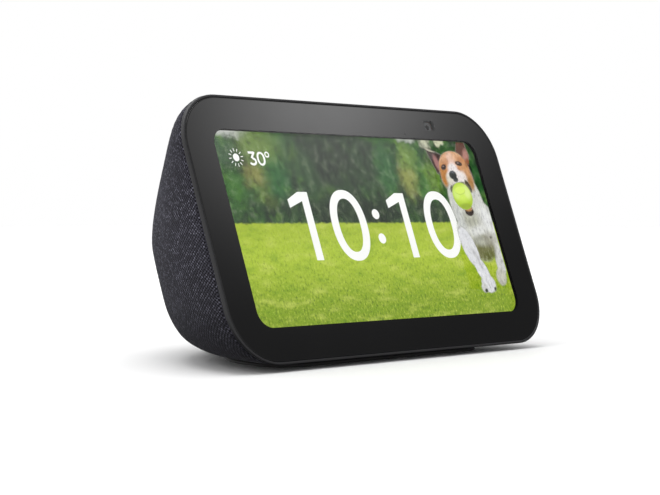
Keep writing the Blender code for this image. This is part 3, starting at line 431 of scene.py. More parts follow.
@dataclass(frozen=True)
class CoverGlass:
    """Front glass: a black printed border with clear windows, under one glossy surface."""

    name: str
    windows: tuple[Window, ...]
    ink: Colour = tone(12, 12, 13)
    gloss: float = 0.05
    index: float = 1.5
    coating: float = 0.45

    def opening(self, g: Graph, place: bpy.types.NodeSocket, window: Window) -> bpy.types.NodeSocket:
        """How clear the glass is at a place, for one window.

        Args:
            g: The material's graph.
            place: The place, in metres.
            window: The window.

        Returns:
            A share from 0 outside the window to its clearness inside.
        """
        parts = g.add("SeparateXYZ", {0: place})
        reach = []
        for number, axis in enumerate((0, 2)):
            off = g.math("ABSOLUTE", g.math("SUBTRACT", parts.outputs[axis], window.centre[number]))
            reach.append(g.math("SUBTRACT", off, window.size[number] / 2 - window.corner))
        positive = [g.math("MAXIMUM", r, 0.0) for r in reach]
        both = g.add("CombineXYZ", {0: positive[0], 1: positive[1]}).outputs[0]
        outside = g.vector("LENGTH", both).outputs["Value"]
        edge = 0.05 * MM
        return g.ease(outside, window.corner + edge, window.corner - edge, 0.0, 1.0 - window.smoke)

    def material(self, polished: bool = True) -> bpy.types.Material:
        """The node material of this finish.

        Args:
            polished: Whether this is the outer surface, which shines; the inner one only carries the print.

        Returns:
            The material.
        """
        g = Graph(self.name if polished else self.name + "_print")
        place = g.place()
        clear = None
        for window in self.windows:
            found = self.opening(g, place, window)
            clear = found if clear is None else g.math("MAXIMUM", clear, found)
        smear = g.noise(place, 45.0, 4.0, 0.6)
        rough = g.ease(smear, 0.35, 0.8, self.gloss, self.gloss + 0.05)
        mottle = g.mix(g.noise(place, 700.0, 2.0), self.ink, tuple(c * 1.25 for c in self.ink))
        ink = g.add(
            "BsdfPrincipled", {"Base Color": mottle, "Roughness": rough, "IOR": self.index},
        )
        pane = g.add("BsdfTransparent", {"Color": (0.99, 0.995, 0.99, 1.0)})
        if polished:
            shine = g.add("BsdfGlossy", {"Color": (1.0, 1.0, 1.0, 1.0), "Roughness": rough})
            away = g.math("POWER", g.add("LayerWeight", {"Blend": 0.5}).outputs["Facing"], 5.0)
            bare = ((self.index - 1) / (self.index + 1)) ** 2
            share = g.ease(away, 0.0, 1.0, bare * self.coating, self.coating, how=Blend.STRAIGHT)
            pane = g.add("MixShader", {0: share, 1: pane.outputs[0], 2: shine.outputs[0]})
        whole = g.add("MixShader", {0: clear, 1: ink.outputs[0], 2: pane.outputs[0]})
        g.feed(g.output.inputs[0], whole.outputs[0])
        return g.material


class Canvas:
    """Soft shapes laid one over another, in millimetres across and up the face."""

    def __init__(self, g: Graph, ground: object, keep_cover: bool = False) -> None:
        """Start with a ground colour.

        Args:
            g: The material's graph.
            ground: The colour under every shape.
            keep_cover: Whether to keep how far the solid shapes cover the canvas.
        """
        self.g = g
        self.keep_cover = keep_cover
        parts = g.add("SeparateXYZ", {0: g.scaled(g.place(), (1 / MM, 1 / MM, 1 / MM))})
        place = g.add("CombineXYZ", {0: parts.outputs[0], 1: parts.outputs[2]}).outputs[0]
        self.still = place
        self.place = place
        self.colour = ground
        self.cover: bpy.types.NodeSocket | None = None

    def ruffle(self, scale: float, amount: float) -> None:
        """Bend the edges of the shapes that follow, as fur or leaves do.

        Args:
            scale: Tufts for each millimetre.
            amount: How far an edge moves, in millimetres.
        """
        wobble = self.g.noise(self.still, scale, 3.0, 0.65, colour=True)
        off = self.g.vector("SUBTRACT", wobble, (0.5, 0.5, 0.5)).outputs[0]
        off = self.g.scaled(off, (2 * amount, 2 * amount, 0.0))
        self.place = self.g.vector("ADD", self.still, off).outputs[0]

    def lay(self, share: bpy.types.NodeSocket, colour: object, strength: float = 1.0) -> None:
        """Cover part of the canvas with a colour."""
        if strength < 1.0:
            share = self.g.math("MULTIPLY", share, strength)
        elif self.keep_cover:
            self.cover = share if self.cover is None else self.g.math("MAXIMUM", self.cover, share)
        self.colour = self.g.mix(share, self.colour, colour)

    def grain(self, scale: Point, dark: float, light: float, spread: float = 0.16) -> None:
        """Shade everything laid so far with fine tufts.

        Args:
            scale: Tufts for each millimetre across and up.
            dark: How strongly the hollows darken.
            light: How strongly the tips lighten.
            spread: How far from its middle the noise reaches full strength.
        """
        tufts = self.g.noise(self.g.scaled(self.still, (*scale, 1.0)), 1.0, 3.0, 0.7)
        deep = self.g.mix(1.0, self.colour, (0.16, 0.17, 0.13), "MULTIPLY")
        self.colour = self.g.mix(self.g.ease(tufts, 0.5, 0.5 - spread, 0.0, dark), self.colour, deep)
        pale = self.g.mix(1.0, self.colour, (0.34, 0.36, 0.26), "ADD")
        self.colour = self.g.mix(self.g.ease(tufts, 0.5, 0.5 + spread, 0.0, light), self.colour, pale)

    def oval(
        self, centre: Point, radii: Point, colour: object, turn: float = 0.0, soft: float = 0.12,
        strength: float = 1.0,
    ) -> None:
        """Lay a soft-edged oval.

        Args:
            centre: Its middle.
            radii: Half its width and height.
            colour: Its colour.
            turn: Degrees it is turned, anticlockwise.
            soft: How much of its radius the edge takes.
            strength: How solid it is.
        """
        mapping = self.g.add(
            "Mapping",
            {
                "Vector": self.place, "Location": (*centre, 0.0), "Rotation": (0.0, 0.0, math.radians(turn)),
                "Scale": (*radii, 1.0),
            },
            vector_type="TEXTURE",
        )
        away = self.g.vector("LENGTH", mapping.outputs[0]).outputs["Value"]
        self.lay(self.g.ease(away, 1 + soft, 1 - soft), colour, strength)

    def facet(self, corners: list[Point], colour: object, soft: float = 0.3, strength: float = 1.0) -> None:
        """Lay a convex shape with corners in anticlockwise order and a soft edge in millimetres."""
        outside = None
        for (x0, y0), (x1, y1) in zip(corners, corners[1:] + corners[:1]):
            length = math.hypot(x1 - x0, y1 - y0)
            normal = ((y1 - y0) / length, (x0 - x1) / length)
            reach = self.g.vector("DOT_PRODUCT", self.place, (*normal, 0.0)).outputs["Value"]
            reach = self.g.math("SUBTRACT", reach, normal[0] * x0 + normal[1] * y0)
            outside = reach if outside is None else self.g.math("MAXIMUM", outside, reach)
        self.lay(self.g.ease(outside, soft, -soft), colour, strength)


@dataclass(frozen=True)
class MeadowPicture:
    """The lit picture's ground: blurred trees over a sunny lawn."""

    name: str
    horizon: float = 1.5
    brightness: float = 1.0

    def trees(self, canvas: Canvas) -> None:
        """Paint the far trees and the bits of sky between them."""
        g = canvas.g
        leaves = g.noise(g.scaled(canvas.still, (0.075, 0.07, 1.0)), 1.0, 4.0, 0.6)
        clumps = g.noise(g.scaled(canvas.still, (0.15, 0.14, 1.0)), 1.0, 3.0, 0.55)
        tufts = g.noise(g.scaled(canvas.still, (0.42, 0.36, 1.0)), 1.0, 3.0, 0.6)
        deep = g.mix(g.ease(leaves, 0.38, 0.62), tone(20, 44, 22), tone(44, 92, 34))
        deep = g.mix(g.ease(tufts, 0.48, 0.68, 0.0, 0.6), deep, tone(74, 118, 48))
        canvas.colour = g.mix(g.ease(clumps, 0.54, 0.70, 0.0, 0.8), deep, tone(96, 136, 46))
        canvas.ruffle(0.14, 4.5)
        canvas.oval((-52.0, 31.6), (7.5, 2.6), tone(186, 188, 184), soft=0.45, strength=0.99)
        canvas.oval((-57.0, 25.0), (5.0, 4.0), tone(66, 98, 66), soft=0.7, strength=0.7)
        canvas.oval((-43.0, 26.5), (8.5, 5.0), tone(110, 136, 58), soft=0.7, strength=0.8)
        canvas.oval((-46.8, 16.5), (4.4, 4.0), tone(150, 144, 70), soft=0.8, strength=0.65)
        canvas.oval((-44.0, 9.0), (3.0, 3.0), tone(104, 118, 44), soft=0.8, strength=0.5)
        canvas.oval((-56.5, 13.0), (4.6, 6.0), tone(48, 104, 22), soft=0.7, strength=0.8)
        canvas.oval((-37.5, 16.0), (5.0, 7.0), tone(28, 98, 38), soft=0.7, strength=0.75)
        canvas.oval((-13.0, 24.0), (17.0, 13.0), tone(26, 40, 26), soft=0.6, strength=0.85)
        canvas.oval((-24.0, 17.0), (4.0, 7.0), tone(40, 76, 36), soft=0.8, strength=0.6)
        canvas.oval((6.0, 21.0), (7.0, 9.0), tone(34, 52, 34), soft=0.6, strength=0.7)
        canvas.oval((-10.0, 5.6), (32.0, 5.0), tone(10, 30, 12), soft=0.7, strength=0.85)
        canvas.oval((13.5, 20.0), (4.2, 8.0), tone(44, 104, 48), soft=0.7, strength=0.7)
        canvas.oval((23.5, 16.5), (4.0, 6.0), tone(154, 158, 78), soft=0.8, strength=0.75)
        canvas.oval((25.5, 24.5), (4.5, 4.0), tone(120, 150, 62), soft=0.7, strength=0.65)
        canvas.oval((31.0, 14.0), (4.0, 6.0), tone(56, 112, 30), soft=0.7, strength=0.75)
        canvas.oval((36.5, 17.5), (4.0, 5.0), tone(110, 146, 42), soft=0.7, strength=0.7)
        canvas.oval((27.5, 31.6), (4.6, 1.8), tone(176, 180, 172), soft=0.45, strength=0.99)
        canvas.oval((36.8, 30.0), (2.2, 2.9), tone(196, 196, 172), soft=0.5, strength=0.95)
        canvas.oval((44.3, 30.2), (2.0, 2.1), tone(206, 208, 176), soft=0.4, strength=0.99)
        canvas.oval((60.0, 18.0), (2.8, 8.0), tone(20, 84, 26), soft=0.5, strength=0.85)
        canvas.oval((34.0, 5.0), (10.0, 3.4), tone(26, 46, 24), soft=0.6, strength=0.8)
        canvas.grain((0.36, 0.30), 0.55, 0.2)

    def lawn(self, canvas: Canvas) -> None:
        """Paint the lawn, which sharpens towards the viewer."""
        g = canvas.g
        parts = g.add("SeparateXYZ", {0: canvas.still})
        up = parts.outputs[1]
        near = g.ease(up, self.horizon, -29.0, how=Blend.STRAIGHT)
        far_colour = g.mix(g.ease(up, self.horizon, -9.0), tone(166, 188, 46), tone(172, 196, 52))
        body = g.mix(g.ease(up, -8.0, -29.0), far_colour, tone(130, 158, 30))
        drift = g.noise(g.scaled(canvas.still, (0.10, 0.28, 1.0)), 1.0, 3.0, 0.55)
        body = g.mix(g.ease(drift, 0.5, 0.75, 0.0, 0.55), body, tone(206, 216, 104))
        body = g.mix(g.ease(drift, 0.5, 0.28, 0.0, 0.6), body, tone(124, 160, 28))
        blades = g.noise(g.scaled(canvas.still, (1.25, 0.75, 1.0)), 1.0, 4.0, 0.75)
        contrast = g.ease(near, 0.0, 1.0, 0.28, 1.0, how=Blend.STRAIGHT)
        dark = g.math("MULTIPLY", g.ease(blades, 0.50, 0.30), contrast)
        light = g.math("MULTIPLY", g.ease(blades, 0.52, 0.72), contrast)
        body = g.mix(dark, body, tone(66, 98, 8))
        body = g.mix(light, body, tone(204, 218, 92))
        edge = g.math("ADD", up, g.ease(g.noise(canvas.still, 0.5, 3.0), 0.2, 0.8, -0.35, 0.35))
        canvas.colour = g.mix(g.ease(edge, self.horizon + 0.5, self.horizon - 0.4), canvas.colour, body)

    def material(self) -> bpy.types.Material:
        """The node material of this finish."""
        g = Graph(self.name)
        canvas = Canvas(g, tone(40, 70, 40))
        self.trees(canvas)
        self.lawn(canvas)
        lit_surface(g, canvas.colour, self.brightness)
        return g.material


def lit_surface(
    g: Graph, colour: object, brightness: float, cover: bpy.types.NodeSocket | None = None
) -> None:
    """Wire a lit, near-black surface to the output, clear where cover is 0."""
    inputs = {
        "Base Color": (0.004, 0.004, 0.004), "Roughness": 0.35, "Emission Color": colour,
        "Emission Strength": brightness,
    }
    shader = g.add("BsdfPrincipled", inputs).outputs[0]
    if cover is not None:
        clear = g.add("BsdfTransparent").outputs[0]
        shader = g.add("MixShader", {0: cover, 1: clear, 2: shader}).outputs[0]
    g.feed(g.output.inputs[0], shader)


class DogPart(Enum):
    """The layers the dog is painted in, from the back."""

    EARS = "ears"
    CHEST = "chest"
    LEGS = "legs"
    HEAD = "head"
    FEATURES = "features"
    BALL = "ball"


@dataclass(frozen=True)
class DogPicture:
    """A layer of the lit picture: a small white and tan dog running with a ball."""

    part: DogPart
    brightness: float = 1.0

    def ears(self, canvas: Canvas) -> None:
        """Paint both ears."""
        brown, pink = tone(92, 50, 36), tone(196, 140, 128)
        canvas.ruffle(0.9, 0.35)
        canvas.facet(
            [(57.6, 22.6), (59.0, 26.0), (57.8, 31.8), (54.6, 31.8), (52.2, 27.4), (54.4, 24.0)], brown, 0.4
        )
        canvas.oval((56.9, 25.6), (1.5, 2.6), pink, -24, 0.5, 0.8)
        canvas.oval((54.4, 29.6), (1.3, 2.4), tone(98, 56, 40), -16, 0.6, 0.9)
        canvas.grain((1.2, 0.8), 0.35, 0.1)
        canvas.oval((57.6, 23.6), (1.2, 1.0), tone(150, 84, 40), -24, 0.6, 0.8)
        canvas.facet(
            [(39.4, 18.9), (42.4, 20.4), (43.6, 26.0), (36.2, 28.2), (37.2, 24.6)], tone(62, 44, 40), 0.4
        )
        canvas.oval((40.5, 22.6), (1.2, 3.0), tone(176, 126, 122), 14, 0.5, 0.85)
        canvas.oval((38.0, 27.5), (2.6, 0.5), tone(186, 180, 160), -14, 0.5, 0.9)

    def chest(self, canvas: Canvas) -> None:
        """Paint the neck, the chest and the belly."""
        white, shade, belly = tone(212, 212, 207), tone(170, 170, 158), tone(112, 112, 66)
        canvas.ruffle(1.3, 0.30)
        canvas.oval((60.4, -9.5), (2.7, 9.5), tone(206, 206, 204), -9, 0.16)
        canvas.oval((58.0, -18.2), (2.5, 3.0), tone(192, 190, 178), -20, 0.25)
        canvas.oval((50.6, 8.0), (9.0, 13.0), white, 4, 0.06)
        canvas.oval((57.5, 1.0), (6.6, 9.5), white, 24, 0.07)
        canvas.oval((51.5, -2.0), (10.0, 8.0), white, 0, 0.07)
        canvas.oval((52.8, -7.6), (6.0, 4.8), belly, 0, 0.22)
        canvas.oval((54.8, -10.6), (3.4, 1.6), tone(92, 96, 34), 0, 0.4, 0.8)
        canvas.oval((51.0, -4.6), (5.0, 2.2), shade, -12, 0.5, 0.9)
        canvas.oval((50.0, 2.4), (4.6, 3.2), tone(166, 166, 148), 0, 0.6, 0.8)
        canvas.oval((57.4, -4.6), (3.6, 2.6), tone(160, 156, 144), 0, 0.6, 0.7)
        canvas.oval((58.2, -4.1), (0.6, 0.45), tone(96, 90, 80), 0, 0.6, 0.9)
        canvas.oval((52.5, -1.6), (5.0, 1.6), tone(228, 228, 226), 14, 0.6, 0.7)
        canvas.oval((59.0, 2.5), (2.4, 5.0), tone(232, 232, 234), 20, 0.6, 0.7)
        canvas.oval((44.2, 3.0), (2.2, 6.5), tone(196, 198, 196), 8, 0.6, 0.7)
        canvas.grain((0.9, 0.42), 0.34, 0.35)

    def legs(self, canvas: Canvas) -> None:
        """Paint the near leg and the paws."""
        canvas.ruffle(1.3, 0.30)
        canvas.oval((45.2, -7.4), (3.5, 7.6), tone(222, 222, 226), 17, 0.10)
        canvas.oval((48.6, -15.6), (2.7, 5.4), tone(224, 224, 230), 26, 0.12)
        canvas.oval((50.0, -20.4), (3.6, 3.2), tone(220, 220, 224), -16, 0.14)
        canvas.oval((47.3, -21.8), (1.6, 1.7), tone(206, 206, 204), 0, 0.25)
        canvas.oval((47.8, -22.8), (0.8, 0.7), tone(34, 40, 22), 20, 0.4)
        canvas.oval((52.7, -22.4), (0.55, 0.8), tone(34, 40, 22), -30, 0.4)
        canvas.oval((50.2, -21.4), (0.25, 1.3), tone(150, 150, 148), 12, 0.7, 0.7)
        canvas.oval((47.6, -11.4), (0.9, 4.4), tone(176, 174, 176), 24, 0.7, 0.6)
        canvas.grain((0.9, 0.5), 0.25, 0.3)
        canvas.oval((57.8, -21.6), (2.6, 1.5), tone(70, 104, 30), 0, 0.4, 0.9)

    def head(self, canvas: Canvas) -> None:
        """Paint the head's fur."""
        tan, orange, cream = tone(204, 140, 88), tone(184, 118, 44), tone(238, 228, 228)
        canvas.ruffle(1.5, 0.24)
        canvas.oval((48.9, 20.6), (8.1, 6.6), tan, 8, 0.06)
        canvas.oval((47.4, 24.3), (5.4, 2.3), tone(226, 176, 140), 8, 0.6, 0.8)
        canvas.oval((48.3, 24.0), (1.9, 2.6), tone(238, 206, 196), 8, 0.6, 0.75)
        canvas.oval((50.8, 25.4), (3.2, 1.2), tone(228, 178, 140), 14, 0.6, 0.7)
        canvas.oval((44.6, 22.9), (2.2, 1.3), tone(176, 108, 58), 30, 0.6, 0.6)
        canvas.oval((53.2, 24.4), (2.0, 1.1), tone(176, 108, 58), -14, 0.6, 0.6)
        canvas.oval((42.5, 18.2), (1.9, 4.0), orange, -6, 0.35)
        canvas.oval((54.9, 18.0), (2.5, 5.0), tone(202, 146, 96), 8, 0.35)
        canvas.oval((55.4, 15.6), (1.8, 2.4), tone(164, 122, 70), 14, 0.5, 0.8)
        canvas.oval((56.6, 23.2), (1.1, 1.8), tone(140, 84, 36), -30, 0.5, 0.8)
        canvas.oval((47.9, 21.0), (2.5, 1.8), cream, 10, 0.4, 0.99)
        canvas.oval((48.2, 17.4), (4.7, 3.5), cream, 6, 0.16, 0.99)
        canvas.oval((44.9, 16.6), (1.9, 2.2), tone(214, 208, 190), 0, 0.5, 0.8)
        canvas.oval((52.6, 17.8), (1.7, 2.2), tone(240, 232, 228), 10, 0.5, 0.8)
        canvas.grain((1.0, 0.7), 0.3, 0.16)

    def features(self, canvas: Canvas) -> None:
        """Paint the eyes, the nose and the mouth."""
        canvas.ruffle(1.5, 0.12)
        canvas.oval((43.4, 21.5), (1.9, 1.25), tone(148, 88, 52), 24, 0.5, 0.9)
        canvas.oval((52.0, 22.9), (2.3, 1.2), tone(148, 88, 52), -8, 0.5, 0.9)
        canvas.oval((43.3, 21.3), (1.45, 0.9), tone(38, 16, 14), 24, 0.3)
        canvas.oval((51.9, 22.8), (1.75, 0.8), tone(38, 18, 12), -8, 0.3)
        canvas.oval((43.2, 21.6), (0.34, 0.2), tone(196, 160, 150), 0, 0.5, 0.7)
        canvas.oval((51.6, 23.0), (0.42, 0.2), tone(200, 170, 160), 0, 0.5, 0.7)
        canvas.oval((43.4, 23.4), (1.3, 0.5), tone(170, 116, 80), 24, 0.6, 0.7)
        canvas.oval((47.1, 18.5), (1.95, 1.55), tone(22, 24, 24), 8, 0.2)
        canvas.oval((47.9, 16.9), (1.3, 0.9), tone(30, 32, 32), 8, 0.3)
        canvas.oval((47.4, 19.6), (1.1, 0.45), tone(84, 88, 96), 8, 0.6, 0.8)
        canvas.oval((48.2, 16.0), (0.8, 0.9), tone(66, 70, 70), 0, 0.4, 0.9)
        canvas.oval((50.5, 5.4), (2.3, 1.7), tone(42, 28, 20), 6, 0.15)
        canvas.oval((50.3, 6.6), (2.1, 1.2), tone(182, 134, 80), 4, 0.35)
        canvas.oval((48.4, 14.8), (4.0, 0.9), tone(86, 92, 14), 12, 0.3)
        canvas.oval((53.8, 14.5), (1.1, 2.4), tone(58, 44, 14), 24, 0.25)
        canvas.oval((44.3, 13.5), (0.6, 1.3), tone(62, 60, 22), -26, 0.35)

    def ball(self, canvas: Canvas) -> None:
        """Paint the felt ball."""
        canvas.ruffle(2.2, 0.10)
        canvas.oval((49.1, 10.9), (5.1, 4.9), tone(172, 204, 40), 10, 0.05)
        canvas.oval((49.0, 12.0), (4.2, 3.2), tone(208, 236, 92), 12, 0.5)
        canvas.oval((51.9, 12.4), (1.7, 2.4), tone(226, 244, 148), 20, 0.6, 0.8)
        canvas.oval((46.0, 11.6), (1.5, 1.8), tone(214, 240, 130), -10, 0.6, 0.7)
        canvas.oval((48.5, 12.7), (2.8, 1.35), tone(184, 212, 84), 6, 0.08, 0.75)
        canvas.oval((48.5, 13.0), (2.7, 1.30), tone(216, 242, 104), 6, 0.10)
        canvas.oval((49.2, 7.2), (3.4, 1.0), tone(146, 170, 40), 4, 0.5, 0.8)

    def material(self) -> bpy.types.Material:
        """The node material of this layer."""
        g = Graph(f"dog_{self.part.value}")
        canvas = Canvas(g, tone(160, 160, 150), keep_cover=True)
        getattr(self, self.part.value)(canvas)
        lit_surface(g, canvas.colour, self.brightness, canvas.cover)
        return g.material


@dataclass(frozen=True)
class Lit:
    """An even, softly lit white for the figures on the screen."""

    name: str
    colour: Colour = tone(254, 254, 252)
    brightness: float = 1.0

    def material(self) -> bpy.types.Material:
        """The node material of this finish."""
        g = Graph(self.name)
        even = g.noise(g.place(), 300.0, 2.0)
        glow = g.mix(g.ease(even, 0.3, 0.7), tuple(c * 0.97 for c in self.colour), self.colour)
        lit_surface(g, glow, self.brightness)
        return g.material


# ---------------------------------------------------------------- shapes


@dataclass(frozen=True)
class Face:
    """The leaning front: its size and how it stands."""

    width: float = 0.147
    height: float = 0.084
    corner: float = 0.017
    lean: float = math.radians(20)
    lift: float = 0.0022
    body_depth: float = 0.091

    @property
    def front(self) -> float:
        """Y of the face's lower edge."""
        return -self.body_depth / 2

    @property
    def centre(self) -> Vector:
        """Middle of the face."""
        rise = self.height / 2
        return Vector((0.0, self.front + rise * math.sin(self.lean), self.lift + rise * math.cos(self.lean)))

    def matrix(self) -> Matrix:
        """Places the face's own frame in the row frame."""
        return Matrix.Translation(self.centre) @ Matrix.Rotation(-self.lean, 4, "X")

    def world(self, across: np.ndarray, back: np.ndarray, rise: np.ndarray) -> np.ndarray:
        """Row-frame points of places given in the face's own frame."""
        sine, cosine = math.sin(self.lean), math.cos(self.lean)
        centre = self.centre
        return np.stack(
            [
                across + 0 * back + 0 * rise, centre.y + back * cosine + rise * sine + 0 * across,
                centre.z - back * sine + rise * cosine + 0 * across,
            ],
            axis=-1,
        )

    def local(self, points: np.ndarray) -> np.ndarray:
        """Row-frame points in the face's own frame, as (across, back, rise)."""
        sine, cosine = math.sin(self.lean), math.cos(self.lean)
        y, z = points[..., 1] - self.centre.y, points[..., 2] - self.centre.z
        return np.stack([points[..., 0], y * cosine - z * sine, y * sine + z * cosine], axis=-1)


def rounded(
    width: float, height: float, corner: float, steps: int = 16, long_steps: int = 26, short_steps: int = 14
) -> np.ndarray:
    """Points round a rectangle with round corners, anticlockwise, always as many.

    Args:
        width: Its width.
        height: Its height.
        corner: Its corners' radius.
        steps: Steps round each corner.
        long_steps: Steps along the top and bottom.
        short_steps: Steps along each side.

    Returns:
        An array of (across, up) points.
    """
    points: list[Point] = []
    half = (width / 2 - corner, height / 2 - corner)
    for quarter, (sa, sb) in enumerate(((1, 1), (-1, 1), (-1, -1), (1, -1))):
        for step in range(steps + 1):
            angle = math.pi / 2 * (quarter + step / steps)
            points.append((sa * half[0] + corner * math.cos(angle), sb * half[1] + corner * math.sin(angle)))
        count = long_steps if quarter in (0, 2) else short_steps
        a, b = points[-1]
        run_a = -2 * sa * half[0] if quarter in (0, 2) else 0.0
        run_b = -2 * sb * half[1] if quarter in (1, 3) else 0.0
        points += [(a + run_a * i / count, b + run_b * i / count) for i in range(1, count)]
    return np.array(points)


def upright(outline: np.ndarray, back: float) -> np.ndarray:
    """An outline in the face's plane, at a depth behind the face."""
    return np.stack([outline[:, 0], np.full(len(outline), back), outline[:, 1]], axis=-1)


def level(outline: np.ndarray, z: float, x: float = 0.0, y: float = 0.0) -> np.ndarray:
    """A level outline at a height, moved by x and y."""
    return np.stack([outline[:, 0] + x, outline[:, 1] + y, np.full(len(outline), z)], axis=-1)


@dataclass
class BodyForm:
    """The rounded rear body: a side outline, and level sections that are half superellipses."""

    face: Face
    plan_power: float = 1.76
    top_power: float = 2.3
    top_start: float = 0.066
    rear_height: float = 0.0352
    top_fall: float = math.radians(12)
    top_reach: float = 0.045
    rear_reach_up: float = 0.0089
    rear_reach_down: float = 0.0036
    heel_inset: float = 0.0102
    heel_height: float = 0.008
    heel_slope: float = math.radians(30)
    heel_reach_up: float = 0.008
    heel_reach_down: float = 0.0035
    base_inset: float = 0.022
    base_reach: float = 0.003
    smoothness: int = 60
    core: Vector = field(init=False)
    heights: np.ndarray = field(init=False)
    rear_edge: np.ndarray = field(init=False)
    travelled: np.ndarray = field(init=False)

    def __post_init__(self) -> None:
        """Draw the side outline once."""
        face = self.face
        rear_y = face.body_depth / 2
        top = Vector(
            (face.front + face.height * math.sin(face.lean), face.lift + face.height * math.cos(face.lean))
        )
        rear = Vector((rear_y, self.rear_height))
        heel = Vector((rear_y - self.heel_inset, self.heel_height))
        base = Vector((rear_y - self.base_inset, face.lift))
        fall = Vector((math.cos(self.top_fall), -math.sin(self.top_fall)))
        down = Vector((-math.sin(self.heel_slope), -math.cos(self.heel_slope)))
        stretches = (
            (top, top + fall * self.top_reach, rear + Vector((0, self.rear_reach_up)), rear),
            (rear, rear - Vector((0, self.rear_reach_down)), heel - down * self.heel_reach_up, heel),
            (heel, heel + down * self.heel_reach_down, base + Vector((self.base_reach, 0)), base),
        )
        line = np.array([tuple(p) for s in stretches for p in interpolate_bezier(*s, self.smoothness)])[::-1]
        steps = np.hypot(*np.diff(line, axis=0).T)
        self.travelled = np.concatenate([[0.0], np.cumsum(steps)])
        self.rear_edge, self.heights = line[:, 0], line[:, 1]
        self.core = Vector((0.0, face.centre.y + 0.014, self.rear_height + 0.002))

    def sections(self, points: np.ndarray) -> tuple[np.ndarray, np.ndarray, np.ndarray, np.ndarray]:
        """The level section at each point.

        Args:
            points: Row-frame points.

        Returns:
            How far each point is behind the face's plane, and its section's depth, half width and power.
        """
        face, z = self.face, points[..., 2]
        plane = face.front + (z - face.lift) * math.tan(face.lean)
        depth = np.interp(z, self.heights, self.rear_edge) - plane
        rise = np.abs(z - face.centre.z) / math.cos(face.lean)
        over = np.clip(rise - (face.height / 2 - face.corner), 0, face.corner)
        half = face.width / 2 - face.corner + np.sqrt(face.corner**2 - over**2)
        share = np.clip((z - self.top_start) / (self.heights[-1] - self.top_start), 0, 1)
        power = self.plan_power + (self.top_power - self.plan_power) * share**2
        return points[..., 1] - plane, np.maximum(depth, SLIVER), half, power

    def inside(self, points: np.ndarray) -> np.ndarray:
        """Whether each point lies in the body."""
        behind, depth, half, power = self.sections(points)
        z = points[..., 2]
        level = (z >= self.heights[0]) & (z <= self.heights[-1]) & (behind >= 0)
        fill = (np.abs(points[..., 0]) / half) ** power + (np.maximum(behind, 0) / depth) ** power
        return level & (fill <= 1)

    def march(self, start: np.ndarray, reach: np.ndarray) -> np.ndarray:
        """Where each line from start, reach long, leaves the body."""
        low, high = np.zeros(reach.shape[:-1]), np.ones(reach.shape[:-1])
        for _ in range(36):
            middle = (low + high) / 2
            held = self.inside(start + reach * middle[..., None])
            low, high = np.where(held, middle, low), np.where(held, high, middle)
        return start + reach * low[..., None]

    def rings(self, outline: np.ndarray, count: int) -> np.ndarray:
        """Rings over the body from the face's outline to just short of the rearmost point.

        Args:
            outline: Points round the face, as (across, up).
            count: How many rings.

        Returns:
            An array of ring, point, and x, y, z.
        """
        rim = self.face.world(outline[:, 0], np.zeros(len(outline)), outline[:, 1])
        core = np.array(self.core)
        rear = Vector((0.0, 1.0, 0.0))
        ways = [Vector(p - core).normalized() for p in rim]
        rows = [rim]
        for ring in range(1, count):
            turned = np.array([tuple(way.slerp(rear, ring / count)) for way in ways])
            rows.append(self.march(core, turned * 2 * self.face.width))
        return np.array(rows)

    def tip(self) -> np.ndarray:
        """The rearmost point level with the core."""
        core = np.array(self.core)
        return self.march(core, np.array([0.0, 2 * self.face.width, 0.0]))

    def strip_top(self, across: np.ndarray, back: np.ndarray) -> np.ndarray:
        """Rise of the top surface over places given across and back in the face's frame."""
        low = self.face.world(across, back, np.full_like(across, self.face.height / 2 - 0.006))
        high = self.face.world(across, back, np.full_like(across, self.face.height / 2 + 0.006))
        return self.face.local(self.march(low, high - low))[..., 2]

    def cloth_map(self, points: np.ndarray) -> np.ndarray:
        """Millimetres along and up the cloth at each point of the body's surface."""
        behind, depth, half, power = self.sections(points)
        share_x = np.clip(np.abs(points[..., 0]) / half, 0, 1) ** (power / 2)
        share_y = np.clip(behind / depth, 0, 1) ** (power / 2)
        angle = np.arctan2(share_y, share_x)
        angles = np.linspace(0, math.pi / 2, 120)
        rear = float(np.interp(self.rear_height, self.heights, self.rear_edge))
        ends = (self.face.width / 2, rear - self.face.front)
        power = 2 / self.plan_power
        curve = [np.abs(np.cos(angles)) ** power * ends[0], np.sin(angles) ** power * ends[1]]
        run = np.concatenate([[0.0], np.cumsum(np.hypot(*np.diff(curve, axis=1)))])
        along = (run[-1] - np.interp(angle, angles, run)) * np.sign(points[..., 0])
        weight = np.sin(angle) ** 2
        up = points[..., 2] * (1 - weight) + np.interp(points[..., 2], self.heights, self.travelled) * weight
        return np.stack([along, up], axis=-1) / MM


# ---------------------------------------------------------------- mesh helpers


def make_piece(
    name: str, points: np.ndarray, faces: list[tuple[int, ...]], sharp: float = 35.0
) -> bpy.types.Object:
    """Make a mesh object from points and faces, with its normals facing out.

    Args:
        name: The object's name.
        points: The vertices.
        faces: Vertex numbers of each face.
        sharp: Edges bent by more degrees than this stay crisp.

    Returns:
        The linked object.
    """
    mesh = bpy.data.meshes.new(name)
    mesh.from_pydata([tuple(map(float, p)) for p in points], [], faces)
    shape = bmesh.new()
    shape.from_mesh(mesh)
    bmesh.ops.recalc_face_normals(shape, faces=shape.faces)
    shape.to_mesh(mesh)
    shape.free()
    mesh.shade_smooth()
    mesh.set_sharp_from_angle(angle=math.radians(sharp))
    made = bpy.data.objects.new(name, mesh)
    bpy.context.scene.collection.objects.link(made)
    return made


def band(rows: int, around: int, closed: bool = False) -> list[tuple[int, ...]]:
    """Quads between rows of equally many points; closed joins the last row to the first."""
    faces = []
    for row in range(rows if closed else rows - 1):
        following = (row + 1) % rows
        for i in range(around):
            j = (i + 1) % around
            faces.append((row * around + i, row * around + j, following * around + j, following * around + i))
    return faces


